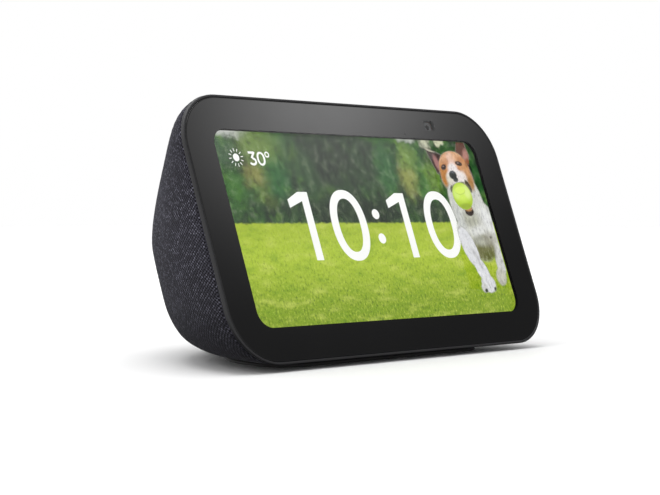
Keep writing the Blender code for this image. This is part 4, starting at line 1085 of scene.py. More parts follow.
def lofted(
    name: str, rings: list[np.ndarray] | np.ndarray, closed: bool = False, sharp: float = 35.0
) -> bpy.types.Object:
    """A solid through rings of points, capped flat at both ends unless closed."""
    rings = [np.asarray(r) for r in rings]
    around = len(rings[0])
    faces = band(len(rings), around, closed)
    if not closed:
        faces.append(tuple(range(around)))
        faces.append(tuple(range((len(rings) - 1) * around, len(rings) * around)))
    return make_piece(name, np.concatenate(rings), faces, sharp)


def box_solid(
    name: str, low: tuple[float, float, float], high: tuple[float, float, float]
) -> bpy.types.Object:
    """A helper box between two corners, used only to cut."""
    ring = [(low[0], low[1]), (high[0], low[1]), (high[0], high[1]), (low[0], high[1])]
    return lofted(name, [np.array([(x, y, z) for x, y in ring]) for z in (low[2], high[2])])


def turned(
    name: str, profile: list[Point], centre: tuple[float, float, float], steps: int = 48, up: bool = True,
    sharp: float = 35.0,
) -> bpy.types.Object:
    """A profile of (radius, height) turned about Z, or about Y where up is false.

    Args:
        name: The object's name.
        profile: Points from the first end to the last, with radii over 0.
        centre: Where height 0 lies on the axis.
        steps: Steps round.
        up: Whether the axis is Z.
        sharp: Edges bent by more degrees than this stay crisp.

    Returns:
        The closed solid.
    """
    rings = []
    for radius, height in profile:
        angles = [2 * math.pi * i / steps for i in range(steps)]
        if up:
            ring = [(radius * math.cos(t), radius * math.sin(t), height) for t in angles]
        else:
            ring = [(radius * math.sin(t), height, radius * math.cos(t)) for t in angles]
        rings.append(np.array(ring) + np.array(centre))
    return lofted(name, rings, sharp=sharp)


def carve(target: bpy.types.Object, cutters: list[bpy.types.Object], how: str = "DIFFERENCE") -> None:
    """Cut the target with helper solids, or unite them, and apply the result."""
    for cutter in cutters:
        change = target.modifiers.new(cutter.name, "BOOLEAN")
        change.operation = how
        change.object = cutter
        change.solver = "EXACT"
    settle(target)
    for cutter in cutters:
        bpy.data.objects.remove(cutter, do_unlink=True)


def settle(target: bpy.types.Object) -> None:
    """Apply every modifier of the target to its mesh."""
    graph = bpy.context.evaluated_depsgraph_get()
    applied = bpy.data.meshes.new_from_object(target.evaluated_get(graph))
    target.modifiers.clear()
    target.data = applied


def joined(name: str, parts: list[bpy.types.Object]) -> bpy.types.Object:
    """Several meshes as one object."""
    shape = bmesh.new()
    for part in parts:
        part.data.transform(part.matrix_world)
        shape.from_mesh(part.data)
    mesh = bpy.data.meshes.new(name)
    shape.to_mesh(mesh)
    shape.free()
    mesh.shade_smooth()
    mesh.set_sharp_from_angle(angle=math.radians(35))
    for part in parts:
        bpy.data.objects.remove(part, do_unlink=True)
    made = bpy.data.objects.new(name, mesh)
    bpy.context.scene.collection.objects.link(made)
    return made


def hand_over(
    made: bpy.types.Object, finish: bpy.types.Material | list[bpy.types.Material],
    body: str = "housing", stands_for: tuple[str, ...] = (),
) -> bpy.types.Object:
    """Dress a piece and tie it to the frame.

    Args:
        made: The piece.
        finish: Its material, or one for each of its slots.
        body: The body it rides on.
        stands_for: CAD nodes that it replaces.

    Returns:
        The piece.
    """
    finishes = finish if isinstance(finish, list) else [finish]
    made.data.materials.clear()
    for material in finishes:
        made.data.materials.append(material)
    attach(made, body)
    if stands_for:
        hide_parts(*stands_for)
    LOG.info("%s: %d faces, on %s", made.name, len(made.data.polygons), body)
    return made


# ---------------------------------------------------------------- sub-assemblies


@dataclass
class FrontFrame:
    """The plastic rim round the glass with the control strip along the top."""

    form: BodyForm
    rim: float = 0.0012
    depth: float = 0.004
    side: float = 0.0012
    rebate: float = 0.00055
    lip: float = 0.0004
    seat: float = 0.0021
    side_ring: float = 0.0084
    end_ring: float = 0.0065
    ring_corner: float = 0.0070
    gap: float = 0.0003
    strip_half: float = 0.052
    strip_depth: float = 0.016
    strip_thickness: float = 0.0029
    button_x: tuple[float, ...] = (-0.024, -0.010, 0.004)
    button_diameter: float = 0.008
    control_back: float = 0.0092
    microphone_x: tuple[float, ...] = (-0.038, 0.018)
    microphone_hole: float = 0.0012
    track_x: float = 0.0401
    track_half: float = 0.0063
    track_width: float = 0.0046
    track_depth: float = 0.0010
    neck_slot: Point = (0.0043, 0.0012)
    soft_edge: float = 0.00035
    soft_drop: float = 0.0003

    def wall(self, back: float, inset: float = 0.0) -> np.ndarray:
        """The body's outline at a depth behind the face, drawn in by inset, in the face's frame."""
        face = self.form.face
        outline = rounded(face.width, face.height, face.corner)
        centre = face.world(np.array(0.0), np.array(back), np.array(0.0))
        far = face.world(outline[:, 0] * 1.1, np.full(len(outline), back), outline[:, 1] * 1.1)
        found = face.local(self.form.march(centre, far - centre))
        flat = rounded(face.width - 2 * inset, face.height - 2 * inset, face.corner - inset) - outline
        return found + np.stack([flat[:, 0], np.zeros(len(flat)), flat[:, 1]], axis=-1)

    def inset(self, by: float, back: float) -> np.ndarray:
        """The face's outline drawn in, at a depth."""
        face = self.form.face
        points = rounded(face.width - 2 * by, face.height - 2 * by, face.corner - by)
        return upright(points, back)

    def rim_solid(self) -> bpy.types.Object:
        """The rim with a rounded lip, a seat for the glass and a ring behind it."""
        face = self.form.face
        rows = [self.wall(b * MM, self.rebate) for b in (4.0, 2.8, 1.5)]
        shoulder = ((1.2, 0.5), (1.1, 0.2), (1.0, 0.05), (0.85, 0.0), (0.65, 0.0))
        rows += [self.wall(b * MM, by * MM) for b, by in shoulder]
        for step in range(6):
            angle = math.pi / 2 * step / 5
            by = self.lip * (1 - math.cos(angle))
            rows.append(self.inset(by + 0.00003, self.lip * (1 - math.sin(angle))))
        edge = self.rim - self.gap
        rows.append(self.inset(edge - 0.0001, 0.0))
        rows.append(self.inset(edge, 0.0001))
        rows.append(self.inset(edge, self.seat))
        opening = rounded(face.width - 2 * self.side_ring, face.height - 2 * self.end_ring, self.ring_corner)
        for back in (self.seat, self.depth):
            rows.append(upright(opening, back))
        return lofted("display_frame", rows, closed=True)

    def strip_solid(self) -> bpy.types.Object:
        """The control strip: the body's own top surface with softened edges."""
        half = self.strip_half
        across = np.concatenate(
            [[-half, -half + 0.0002], np.linspace(-0.0515, 0.0515, 104), [half - 0.0002, half]]
        )
        back = np.concatenate(
            [np.linspace(0.0006, 0.0156, 32), [self.strip_depth - 0.0002, self.strip_depth]]
        )
        grid_x, grid_y = np.meshgrid(across, back)
        top = self.form.strip_top(grid_x, grid_y)
        near_edge = np.minimum(self.strip_half - np.abs(grid_x), self.strip_depth - grid_y)
        drop = np.clip(1 - near_edge / self.soft_edge, 0, 1) ** 2 * self.soft_drop
        top = top - drop
        under = self.form.face.height / 2 - self.strip_thickness
        rows, columns = grid_x.shape
        upper = np.stack([grid_x, grid_y, top], axis=-1).reshape(-1, 3)
        lower = np.stack([grid_x, grid_y, np.full_like(top, under)], axis=-1).reshape(-1, 3)
        faces = []
        count = rows * columns
        for r in range(rows - 1):
            for c in range(columns - 1):
                a = r * columns + c
                faces.append((a, a + 1, a + columns + 1, a + columns))
                faces.append((count + a, count + a + columns, count + a + columns + 1, count + a + 1))
        border = [c for c in range(columns)]
        border += [r * columns + columns - 1 for r in range(1, rows)]
        border += [(rows - 1) * columns + c for c in range(columns - 2, -1, -1)]
        border += [r * columns for r in range(rows - 2, 0, -1)]
        for i, a in enumerate(border):
            b = border[(i + 1) % len(border)]
            faces.append((a, b, count + b, count + a))
        return make_piece("strip", np.concatenate([upper, lower]), faces)

    def build(self, finish: bpy.types.Material) -> bpy.types.Object:
        """The whole frame with its holes.

        Args:
            finish: The frame's plastic.

        Returns:
            The dressed piece.
        """
        frame = self.rim_solid()
        carve(frame, [self.strip_solid()], "UNION")
        high = self.form.face.height / 2 + 0.01
        low = self.form.face.height / 2 - 0.0045
        holes = []
        for x in self.button_x:
            radius = self.button_diameter / 2 + self.gap
            holes.append(turned("hole", [(radius, low), (radius, high)], (x, self.control_back, 0.0), 64))
        for x in self.microphone_x:
            radius = self.microphone_hole / 2
            holes.append(turned("hole", [(radius, low), (radius, high)], (x, self.control_back, 0.0), 24))
        surface = float(self.form.strip_top(np.array([self.track_x]), np.array([self.control_back]))[0])
        half = (self.track_half, self.track_width / 2)
        track = rounded(2 * half[0], 2 * half[1], half[1] * 0.98, 10, 2, 2)
        rings = [level(track, z, self.track_x, self.control_back) for z in (surface - self.track_depth, high)]
        holes.append(lofted("hole", rings))
        reach, half_width = self.neck_slot
        holes.append(
            box_solid(
                "hole", (self.track_x - reach, self.control_back - half_width, low),
                (self.track_x + reach, self.control_back + half_width, surface),
            )
        )
        carve(frame, holes)
        frame.data.shade_smooth()
        frame.data.set_sharp_from_angle(angle=math.radians(32))
        frame.data.transform(self.form.face.matrix())
        return hand_over(frame, finish, stands_for=("front_frame",))


@dataclass
class Screen:
    """The cover glass, the lit picture behind it and the figures on the picture."""

    face: Face
    rim: float = 0.00096
    glass: float = 0.0011
    fillet: float = 0.00022
    bezel_side: float = 0.01185
    bezel_end: float = 0.01118
    window_corner: float = 0.0053
    border: float = 0.0015
    picture_back: float = 0.0014
    panel: float = 0.0030
    camera: Point = (0.0401, 0.0358)
    camera_window: Point = (0.0050, 0.0036)
    sheet: float = 0.00002
    figure_lift: float = 0.000035

    def windows(self) -> tuple[Window, ...]:
        """The clear openings in the printed border."""
        size = (self.face.width - 2 * self.bezel_side, self.face.height - 2 * self.bezel_end)
        return (
            Window((0.0, 0.0), size, self.window_corner),
            Window(self.camera, self.camera_window, 0.0009, smoke=0.35),
            Window((0.026, 0.0322), (0.0012, 0.0012), 0.0006, smoke=0.7),
        )

    def build_glass(self, finish: CoverGlass) -> bpy.types.Object:
        """The glass, with a rounded front edge."""
        rows = []
        for by, back in ((0.00015, self.glass), (0.0, self.glass - 0.00015)):
            rows.append(self.ring(self.rim + by, back))
        for step in range(6):
            angle = math.pi / 2 * step / 5
            rows.append(
                self.ring(self.rim + self.fillet * (1 - math.cos(angle)), self.fillet * (1 - math.sin(angle)))
            )
        rows.append(self.ring(self.rim + 2 * self.fillet, 0.0))
        made = lofted("cover_glass", rows, sharp=50.0)
        made.matrix_world = self.face.matrix()
        finishes = [finish.material(), finish.material(False)]
        hand_over(made, finishes, stands_for=("front_glass",))
        for polygon in made.data.polygons:
            polygon.material_index = 1 if polygon.normal.y > 0.5 else 0
        return made

    def ring(self, inset: float, back: float) -> np.ndarray:
        """The face's outline drawn in, at a depth."""
        points = rounded(self.face.width - 2 * inset, self.face.height - 2 * inset, self.face.corner - inset)
        return upright(points, back)

    def build_panel(self, picture: bpy.types.Material, tray: bpy.types.Material) -> bpy.types.Object:
        """The screen panel: a lit front in a folded metal tray."""
        width = self.face.width - 2 * (self.bezel_side - self.border)
        height = self.face.height - 2 * (self.bezel_end - self.border)
        rows = []
        for by, back in ((0.0, 0.0), (0.0, 0.0022), (0.0006, 0.0026), (0.0006, self.panel)):
            points = rounded(width - 2 * by, height - 2 * by, self.border - by / 2, 6)
            rows.append(upright(points, self.picture_back + back))
        made = lofted("screen_panel", rows)
        made.matrix_world = self.face.matrix()
        hand_over(made, [picture, tray], stands_for=("display_panel",))
        for polygon in made.data.polygons:
            polygon.material_index = 0 if polygon.normal.y < -0.9 else 1
        return made

    def flat(
        self, name: str, outline: list[Point], holes: list[list[Point]] | None = None
    ) -> bpy.types.Object:
        """A thin plate of an outline in millimetres; with one hole it has as many points as the outline."""
        front = self.picture_back - self.figure_lift
        depths = (front, front + self.sheet)
        outer = [np.array([(a * MM, d, b * MM) for a, b in outline]) for d in depths]
        if not holes:
            return lofted(name, outer)
        inner = [np.array([(a * MM, d, b * MM) for a, b in holes[0]]) for d in depths]
        return lofted(name, [outer[0], outer[1], inner[1], inner[0]], closed=True)

    def loop(
        self, centre: Point, radii: Point, stroke: Point, power: float, steps: int = 72
    ) -> bpy.types.Object:
        """A round figure: an oval stroke between two superellipses."""

        def oval(ra: float, rb: float) -> list[Point]:
            """Points round one oval."""
            points = []
            for i in range(steps):
                c, s = math.cos(2 * math.pi * i / steps), math.sin(2 * math.pi * i / steps)
                points.append(
                    (
                        centre[0] + math.copysign(abs(c) ** (2 / power), c) * ra,
                        centre[1] + math.copysign(abs(s) ** (2 / power), s) * rb,
                    )
                )
            return points

        return self.flat("figure", oval(*radii), [oval(radii[0] - stroke[0], radii[1] - stroke[1])])

    def disc(self, centre: Point, radius: float, steps: int = 40) -> bpy.types.Object:
        """A round dot."""
        angles = [2 * math.pi * i / steps for i in range(steps)]
        points = [(centre[0] + radius * math.cos(t), centre[1] + radius * math.sin(t)) for t in angles]
        return self.flat("figure", points)

    def one(self, across: float) -> bpy.types.Object:
        """The figure one, with its stem's left side at across."""
        points = [
            (0.0, -10.4), (3.05, -10.4), (3.05, 11.7), (-1.2, 11.7), (-6.2, 9.2), (-5.9, 6.5), (0.0, 8.7),
        ]
        return self.flat("figure", [(across + a, b) for a, b in points])

    def pen(self, path: list[Point], width: float) -> bpy.types.Object:
        """A stroke of even width along a path."""
        sides: tuple[list[Point], list[Point]] = ([], [])
        for i, (a, b) in enumerate(path):
            before, after = Vector(path[max(i - 1, 0)]), Vector(path[min(i + 1, len(path) - 1)])
            along = (after - before).normalized()
            for side, sign in zip(sides, (1, -1)):
                side.append((a - along.y * sign * width / 2, b + along.x * sign * width / 2))
        rows = []
        front = self.picture_back - self.figure_lift
        for left, right in zip(*sides):
            near, far = (
                [(p[0] * MM, d, p[1] * MM) for p in (left, right)] for d in (front, front + self.sheet)
            )
            rows.append(np.array([*near, *reversed(far)]))
        return lofted("figure", rows)

    def build_camera_mask(self, finish: bpy.types.Material) -> bpy.types.Object:
        """The thin printed mask round the camera, just behind the glass."""
        lens = 0.95
        u, v = self.camera[0] / MM, self.camera[1] / MM
        frame = rounded(*(c / MM - 0.3 for c in self.camera_window), 0.8, 16, 2, 2)
        hole = []
        for a, b in frame:
            length = math.hypot(a, b)
            hole.append((u + 0.4 + a / length * lens, v - 0.2 + b / length * lens))
        lift, self.figure_lift = self.figure_lift, 0.00012
        made = self.flat("camera_mask", [(u + a, v + b) for a, b in frame], [hole])
        self.figure_lift = lift
        made.matrix_world = self.face.matrix()
        return hand_over(made, finish)

    def build_dog(self) -> None:
        """The dog's layers, each a little in front of the last."""
        areas = {
            DogPart.EARS: ((35.0, 17.0), (61.0, 30.7)), DogPart.CHEST: ((38.0, -22.0), (61.6, 24.0)),
            DogPart.LEGS: ((40.0, -26.0), (61.6, 3.0)), DogPart.HEAD: ((38.0, 10.0), (60.0, 29.0)),
            DogPart.FEATURES: ((40.0, 2.0), (58.0, 26.0)), DogPart.BALL: ((42.0, 4.0), (57.0, 18.0)),
        }
        lift = self.figure_lift
        for number, (part, (low, high)) in enumerate(areas.items()):
            self.figure_lift = lift * (2 + number)
            outline = rounded(high[0] - low[0], high[1] - low[1], 1.0, 6, 2, 2)
            middle = ((low[0] + high[0]) / 2, (low[1] + high[1]) / 2)
            made = self.flat(f"dog_{part.value}", [(a + middle[0], b + middle[1]) for a, b in outline])
            made.matrix_world = self.face.matrix()
            hand_over(made, DogPicture(part).material())
        self.figure_lift = lift

    def build_clock(self, finish: bpy.types.Material) -> bpy.types.Object:
        """The time in large figures."""
        parts = [self.one(-29.7), self.one(15.3)]
        for across in (-10.95, 34.25):
            parts.append(self.loop((across, 0.8), (8.05, 11.75), (3.2, 2.9), 2.2))
        parts += [self.disc((2.4, 4.45), 1.7), self.disc((2.5, -3.75), 1.7)]
        made = joined("clock_figures", parts)
        made.matrix_world = self.face.matrix()
        return hand_over(made, finish)

    def build_weather(self, finish: bpy.types.Material) -> bpy.types.Object:
        """A small sun with rays, and the temperature."""
        sun = (-52.9, 22.4)
        parts = [self.disc(sun, 1.25)]
        rays = 12
        for i in range(rays):
            angle = 2 * math.pi * (i + 0.25) / rays
            c, s = math.cos(angle), math.sin(angle)
            ray = [(sun[0] + c * reach, sun[1] + s * reach) for reach in (1.95, 2.95)]
            parts.append(self.pen(ray, 0.26))
        top, foot, stroke = 24.5, 20.0, 0.74
        bowl = [(-46.3 + 1.25 * math.cos(t), 21.3 + 0.98 * math.sin(t)) for t in np.linspace(1.5, -2.7, 22)]
        three = [(-47.6, top - stroke / 2), (-45.2, top - stroke / 2)]
        slash = [(-45.05, 24.35), (-46.55, 22.3)]
        parts += [self.pen(path, stroke) for path in (three, slash, bowl)]
        parts.append(self.loop((-42.6, (top + foot) / 2), (1.7, (top - foot) / 2), (stroke, 0.66), 2.2, 40))
        parts.append(self.loop((-39.75, top - 0.85), (0.98, 0.98), (0.42, 0.42), 2.0, 28))
        made = joined("weather_figures", parts)
        made.matrix_world = self.face.matrix()
        return hand_over(made, finish)


@dataclass
class KnitCover:
    """The knitted cover stretched over the rear body, tucked in along every edge."""

    form: BodyForm
    frame: FrontFrame
    thickness: float = 0.0010
    gap: float = 0.0003
    wall: float = 0.0018
    tuck: float = 0.0010
    tuck_depth: float = 0.00042
    base_half: float = 0.049
    base_front: float = 0.0075
    base_rear: float = 0.0245
    base_corner: float = 0.010
    base_top: float = 0.00465
    port: tuple[float, float, float, float] = (0.0093, 0.0245, 0.0049, 0.0159)
    map_name: str = "Cloth"

    def base_outline(self) -> np.ndarray:
        """The base opening's outline."""
        face, power = self.form.face, self.form.plan_power
        half, corner = self.base_half + self.gap, self.base_corner + self.gap
        front = face.front + self.base_front - self.gap
        depth = face.body_depth / 2 - self.base_rear + self.gap - (front + corner)
        points = []
        for step in range(49):
            angle = math.pi * step / 48
            c, s = math.cos(angle), math.sin(angle)
            across = math.copysign(abs(c) ** (2 / power), c) * half
            points.append((across, front + corner + depth * abs(s) ** (2 / power)))
        for side, start, first, last in ((-1, 180, 1, 8), (1, 270, 0, 7)):
            for step in range(first, last + 1):
                angle = math.radians(start + 90 * step / 8)
                across = side * (half - corner) + corner * math.cos(angle)
                points.append((across, front + corner + corner * math.sin(angle)))
        return np.array(points)

    def shell(self) -> bpy.types.Object:
        """The cover as a closed shell, open at the face."""
        face = self.form.face
        outline = rounded(face.width, face.height, face.corner, 14, 30, 16)
        outer = self.form.rings(outline, 64)
        before = np.concatenate([outer[:1], outer[:-1]])
        tip = self.form.tip()
        after = np.concatenate([outer[1:], np.broadcast_to(tip, (1, *outer.shape[1:]))])
        around = np.roll(outer, -1, axis=1) - np.roll(outer, 1, axis=1)
        normal = np.cross(after - before, around)
        normal /= np.linalg.norm(normal, axis=-1, keepdims=True) + SLIVER
        inner = outer - normal * self.thickness
        rows = np.concatenate([outer[::-1], inner])
        count = rows.shape[1]
        points = np.concatenate([rows.reshape(-1, 3), [tip, tip - np.array([0, self.thickness, 0])]])
        faces = band(len(rows), count)
        total = len(rows) * count
        for i in range(count):
            j = (i + 1) % count
            faces.append((i, j, total))
            faces.append((total - count + i, total - count + j, total + 1))
        return make_piece("knit_cover", points, faces, 60.0)

    def cut_openings(self, cover: bpy.types.Object) -> None:
        """Cut the front, the strip's notch, the base and the power inlet."""
        frame, face = self.frame, self.form.face
        edge = 0.02
        side, end = face.width / 2 + edge, face.height / 2 + edge
        zone = box_solid("zone", (-side, -edge, -end), (side, frame.side, end))
        low = face.height / 2 - frame.strip_thickness - self.wall - self.thickness - 2 * self.gap
        strip = box_solid(
            "zone", (-frame.strip_half - self.gap, 0.0, low),
            (frame.strip_half + self.gap, frame.strip_depth + self.gap, end - edge / 2),
        )
        for helper in (zone, strip):
            helper.matrix_world = face.matrix()
        outline = self.base_outline()
        base = lofted(
            "zone", [np.column_stack([outline, np.full(len(outline), z)]) for z in (-0.002, self.base_top)]
        )
        half, start, low_z, high_z = self.port
        port = rounded(2 * half, high_z - low_z, 0.0012, 6, 2, 2)
        middle = (low_z + high_z) / 2
        port += (0.0, middle)
        inlet = lofted("zone", [upright(port, y) for y in (start, face.body_depth)])
        bpy.context.view_layer.update()
        carve(cover, [zone, strip, base, inlet])

    def edge_distance(self, points: np.ndarray) -> np.ndarray:
        """How far each point lies from the nearest front edge of the cloth."""
        frame = self.frame
        local = self.form.face.local(points)
        from_rim = local[:, 1] - frame.side
        over_x = np.abs(local[:, 0]) - (frame.strip_half + self.gap)
        over_y = local[:, 1] - (frame.strip_depth + self.gap)
        outside = np.hypot(np.maximum(over_x, 0), np.maximum(over_y, 0))
        upper = local[:, 2] > self.form.face.height / 2 - 0.012
        beside = np.minimum(outside, np.abs(from_rim) + 1)
        round_strip = np.minimum(from_rim, np.where(over_x > 0, beside, outside))
        return np.where(upper, round_strip, from_rim)

    def tuck_edges(self, cover: bpy.types.Object) -> None:
        """Roll the cloth inwards along its front edges."""
        mesh = cover.data
        count = len(mesh.vertices)
        points = np.empty(count * 3)
        mesh.vertices.foreach_get("co", points)
        points = points.reshape(-1, 3)
        core = np.array([0.0, self.form.core.y + 0.004, self.form.core.z])
        away = np.clip(self.edge_distance(points), 0, None)
        roll = np.clip(1 - away / self.tuck, 0, 1) ** 2 * self.tuck_depth
        inward = core - points
        inward[:, 1] *= 0.15
        inward /= np.linalg.norm(inward, axis=1, keepdims=True)
        mesh.vertices.foreach_set("co", (points + inward * roll[:, None]).reshape(-1))

    def map_cloth(self, cover: bpy.types.Object) -> None:
        """Give the cover its map in millimetres of cloth."""
        mesh = cover.data
        points = np.empty(len(mesh.vertices) * 3)
        mesh.vertices.foreach_get("co", points)
        flat = self.form.cloth_map(points.reshape(-1, 3))
        corners = np.empty(len(mesh.loops), dtype=np.int32)
        mesh.loops.foreach_get("vertex_index", corners)
        layer = mesh.uv_layers.new(name=self.map_name)
        layer.data.foreach_set("uv", flat[corners].astype(np.float32).reshape(-1))

    def build(self, finish: bpy.types.Material) -> bpy.types.Object:
        """The whole cover: its shell cut open, its edges tucked and its cloth mapped.

        Args:
            finish: The knit.

        Returns:
            The dressed piece.
        """
        cover = self.shell()
        self.cut_openings(cover)
        self.tuck_edges(cover)
        self.map_cloth(cover)
        cover.data.shade_smooth()
        cover.data.set_sharp_from_angle(angle=math.radians(60))
        hand_over(cover, finish, stands_for=("fabric_cover",))
        return cover


@dataclass
class Controls:
    """The three push buttons with their marks, and the camera shutter's slider."""

    frame: FrontFrame
    proud: float = 0.0004
    edge: float = 0.00045
    dish: float = 0.00018
    flange: float = 0.0009
    mark: float = 0.00005
    names: tuple[str, ...] = ("mute_button", "volume_down_button", "volume_up_button")
    knob: tuple[float, float] = (0.0070, 0.0040)
    knob_shift: float = 0.0025

    def surface(self, x: float) -> float:
        """Rise of the strip over a control."""
        return float(self.frame.form.strip_top(np.array([x]), np.array([self.frame.control_back]))[0])

    def build_button(self, name: str, x: float, finish: bpy.types.Material) -> bpy.types.Object:
        """One button: a dished top with a rounded edge, its flange and stem."""
        face = self.frame.form.face
        radius = self.frame.button_diameter / 2
        top = self.surface(x) + self.proud
        flange_top = face.height / 2 - self.frame.strip_thickness - self.frame.gap
        flange_low = flange_top - 0.0007
        stem_low = flange_low - 0.0009
        profile = [(0.0012, stem_low), (0.0012, flange_low), (radius + self.flange, flange_low)]
        profile += [(radius + self.flange, flange_top), (radius, flange_top), (radius, top - self.edge)]
        for step in range(1, 6):
            angle = math.pi / 2 * step / 5
            drawn_in, drop = (self.edge * (1 - turn(angle)) for turn in (math.cos, math.sin))
            profile.append((radius - drawn_in, top - drop))
        for share in (0.8, 0.6, 0.4, 0.2, 0.05):
            profile.append((radius * share, top - self.dish * (1 - share**2)))
        made = turned(name + "_cap", profile, (x, self.frame.control_back, 0.0), 56)
        made.data.transform(face.matrix())
        return hand_over(made, finish, body=name, stands_for=(name,))

    def plate(self, outline: list[Point], x: float, top: float) -> bpy.types.Object:
        """A thin printed mark of an outline in millimetres, lying on a button."""
        rings = []
        for z in (top - self.dish - self.mark, top - self.dish + self.mark):
            rings.append(np.array([(x + a * MM, self.frame.control_back - b * MM, z) for a, b in outline]))
        return lofted("mark", rings)

    def bar(self, a: Point, b: Point, width: float, x: float, top: float) -> bpy.types.Object:
        """A straight stroke of a mark."""
        along = Vector((b[0] - a[0], b[1] - a[1])).normalized() * width / 2
        side = Vector((-along.y, along.x))
        ends = [Vector(a) - side, Vector(b) - side, Vector(b) + side, Vector(a) + side]
        return self.plate([tuple(p) for p in ends], x, top)

    def build_marks(self, finish: bpy.types.Material) -> list[bpy.types.Object]:
        """A struck-out microphone, a minus and a plus."""
        made = []
        for name, x in zip(self.names, self.frame.button_x):
            top = self.surface(x) + self.proud
            if name == "mute_button":
                upper, lower = np.linspace(0, math.pi, 12), np.linspace(math.pi, 2 * math.pi, 12)
                capsule = [(0.55 * math.cos(t), 0.35 + 0.55 * math.sin(t)) for t in upper]
                capsule += [(0.55 * math.cos(t), -0.25 + 0.55 * math.sin(t)) for t in lower]
                parts = [self.plate(capsule, x, top)]
                arc = [(math.cos(t), -0.2 + math.sin(t)) for t in np.linspace(math.pi, 2 * math.pi, 13)]
                parts += [self.bar(a, b, 0.2, x, top) for a, b in zip(arc, arc[1:])]
                parts.append(self.bar((0.0, -1.15), (0.0, -1.7), 0.2, x, top))
                parts.append(self.bar((-1.3, 1.3), (1.3, -1.5), 0.24, x, top))
            else:
                parts = [self.bar((-1.2, 0.0), (1.2, 0.0), 0.26, x, top)]
                if name == "volume_up_button":
                    parts.append(self.bar((0.0, -1.2), (0.0, 1.2), 0.26, x, top))
            mark = joined(name.replace("_button", "_mark"), parts)
            mark.data.transform(self.frame.form.face.matrix())
            made.append(hand_over(mark, finish, body=name))
        return made

    def build_slider(self, finish: bpy.types.Material) -> bpy.types.Object:
        """The shutter's slider: a rounded bar with grip ribs and its neck."""
        face, frame = self.frame.form.face, self.frame
        x = frame.track_x + self.knob_shift
        surface = self.surface(frame.track_x)
        floor = surface - frame.track_depth + frame.gap
        top = surface + 0.0006
        half = (self.knob[0] / 2, self.knob[1] / 2)
        rows = []
        profile = ((0.0, floor), (0.0, top - 0.0004), (0.00006, top - 0.0002))
        for by, z in (*profile, (0.0002, top - 0.00005), (0.0004, top)):
            ring = rounded(2 * (half[0] - by), 2 * (half[1] - by), half[1] - by - 0.00002, 12, 2, 2)
            rows.append(level(ring, z, x, frame.control_back))
        knob = lofted("knob", rows)
        parts = [knob]
        for number in range(-2, 3):
            centre = x + number * 0.0008
            rib = rounded(0.0004, 0.0024, 0.00018, 4, 2, 2)
            ring = [
                level(rib * s, z, centre, frame.control_back)
                for s, z in ((1.0, top - 0.0001), (1.0, top + 0.00012), (0.8, top + 0.00018))
            ]
            parts.append(lofted("rib", ring))
        neck_low = face.height / 2 - frame.strip_thickness - 2 * frame.gap
        across, back = 0.0015, 0.0009
        low = (x - across, frame.control_back - back, neck_low)
        high = (x + across, frame.control_back + back, floor + 0.0001)
        parts.append(box_solid("neck", low, high))
        made = joined("shutter_knob", parts)
        made.data.transform(face.matrix())
        return hand_over(
            made, finish, body="camera_shutter", stands_for=("shutter_slider",)
        )


@dataclass
class Underside:
    """The ribbed rubber foot under the base."""

    cover: KnitCover
    foot: float = 0.0011
    foot_inset: float = 0.0006
    top_inset: float = 0.0004
    groove: float = 0.00025

    def scaled_outline(self, inset: float) -> np.ndarray:
        """The base's outline drawn in by about inset."""
        outline = self.cover.base_outline()
        centre = outline.mean(axis=0)
        span = (outline.max(axis=0) - outline.min(axis=0)) / 2
        return centre + (outline - centre) * (1 - (inset + self.cover.gap) / span)

    def build_foot(self, finish: bpy.types.Material) -> bpy.types.Object:
        """The foot, with a rounded rim and a raised ring that meets the table."""
        profile = [(self.top_inset, self.foot), (0.0, self.foot - 0.0002), (0.0, 0.0003), (0.00035, 0.0)]
        profile += [(0.0035, 0.0), (0.0040, self.groove), (0.0065, self.groove), (0.0070, 0.0)]
        rows = []
        for by, z in profile:
            outline = self.scaled_outline(self.foot_inset + by)
            rows.append(np.column_stack([outline, np.full(len(outline), z)]))
        made = lofted("foot_pad", rows)
        return hand_over(made, finish, stands_for=("rubber_foot",))


@dataclass
class Inlet:
    """The bright contact sleeve of the power socket."""

    outer: float = 0.00215
    inner: float = 0.0019
    sunk: float = 0.0006
    reach: float = 0.0065
    edge: float = 0.0001
    steps: int = 40

    def build_ring(self, finish: bpy.types.Material) -> bpy.types.Object:
        """The contact sleeve just inside the jack's bore.

        Args:
            finish: The sleeve's metal.

        Returns:
            The dressed piece.
        """
        low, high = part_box("power_jack")
        middle = (low.z + high.z) / 2
        start, end = high.y - self.reach, high.y - self.sunk
        angles = [2 * math.pi * i / self.steps for i in range(self.steps)]
        profile = ((self.outer, start), (self.outer, end), (self.inner, end + self.edge), (self.inner, start))
        rows = [
            np.array([(radius * math.sin(t), y, middle + radius * math.cos(t)) for t in angles])
            for radius, y in profile
        ]
        made = lofted("jack_sleeve", rows, closed=True)
        return hand_over(made, finish)


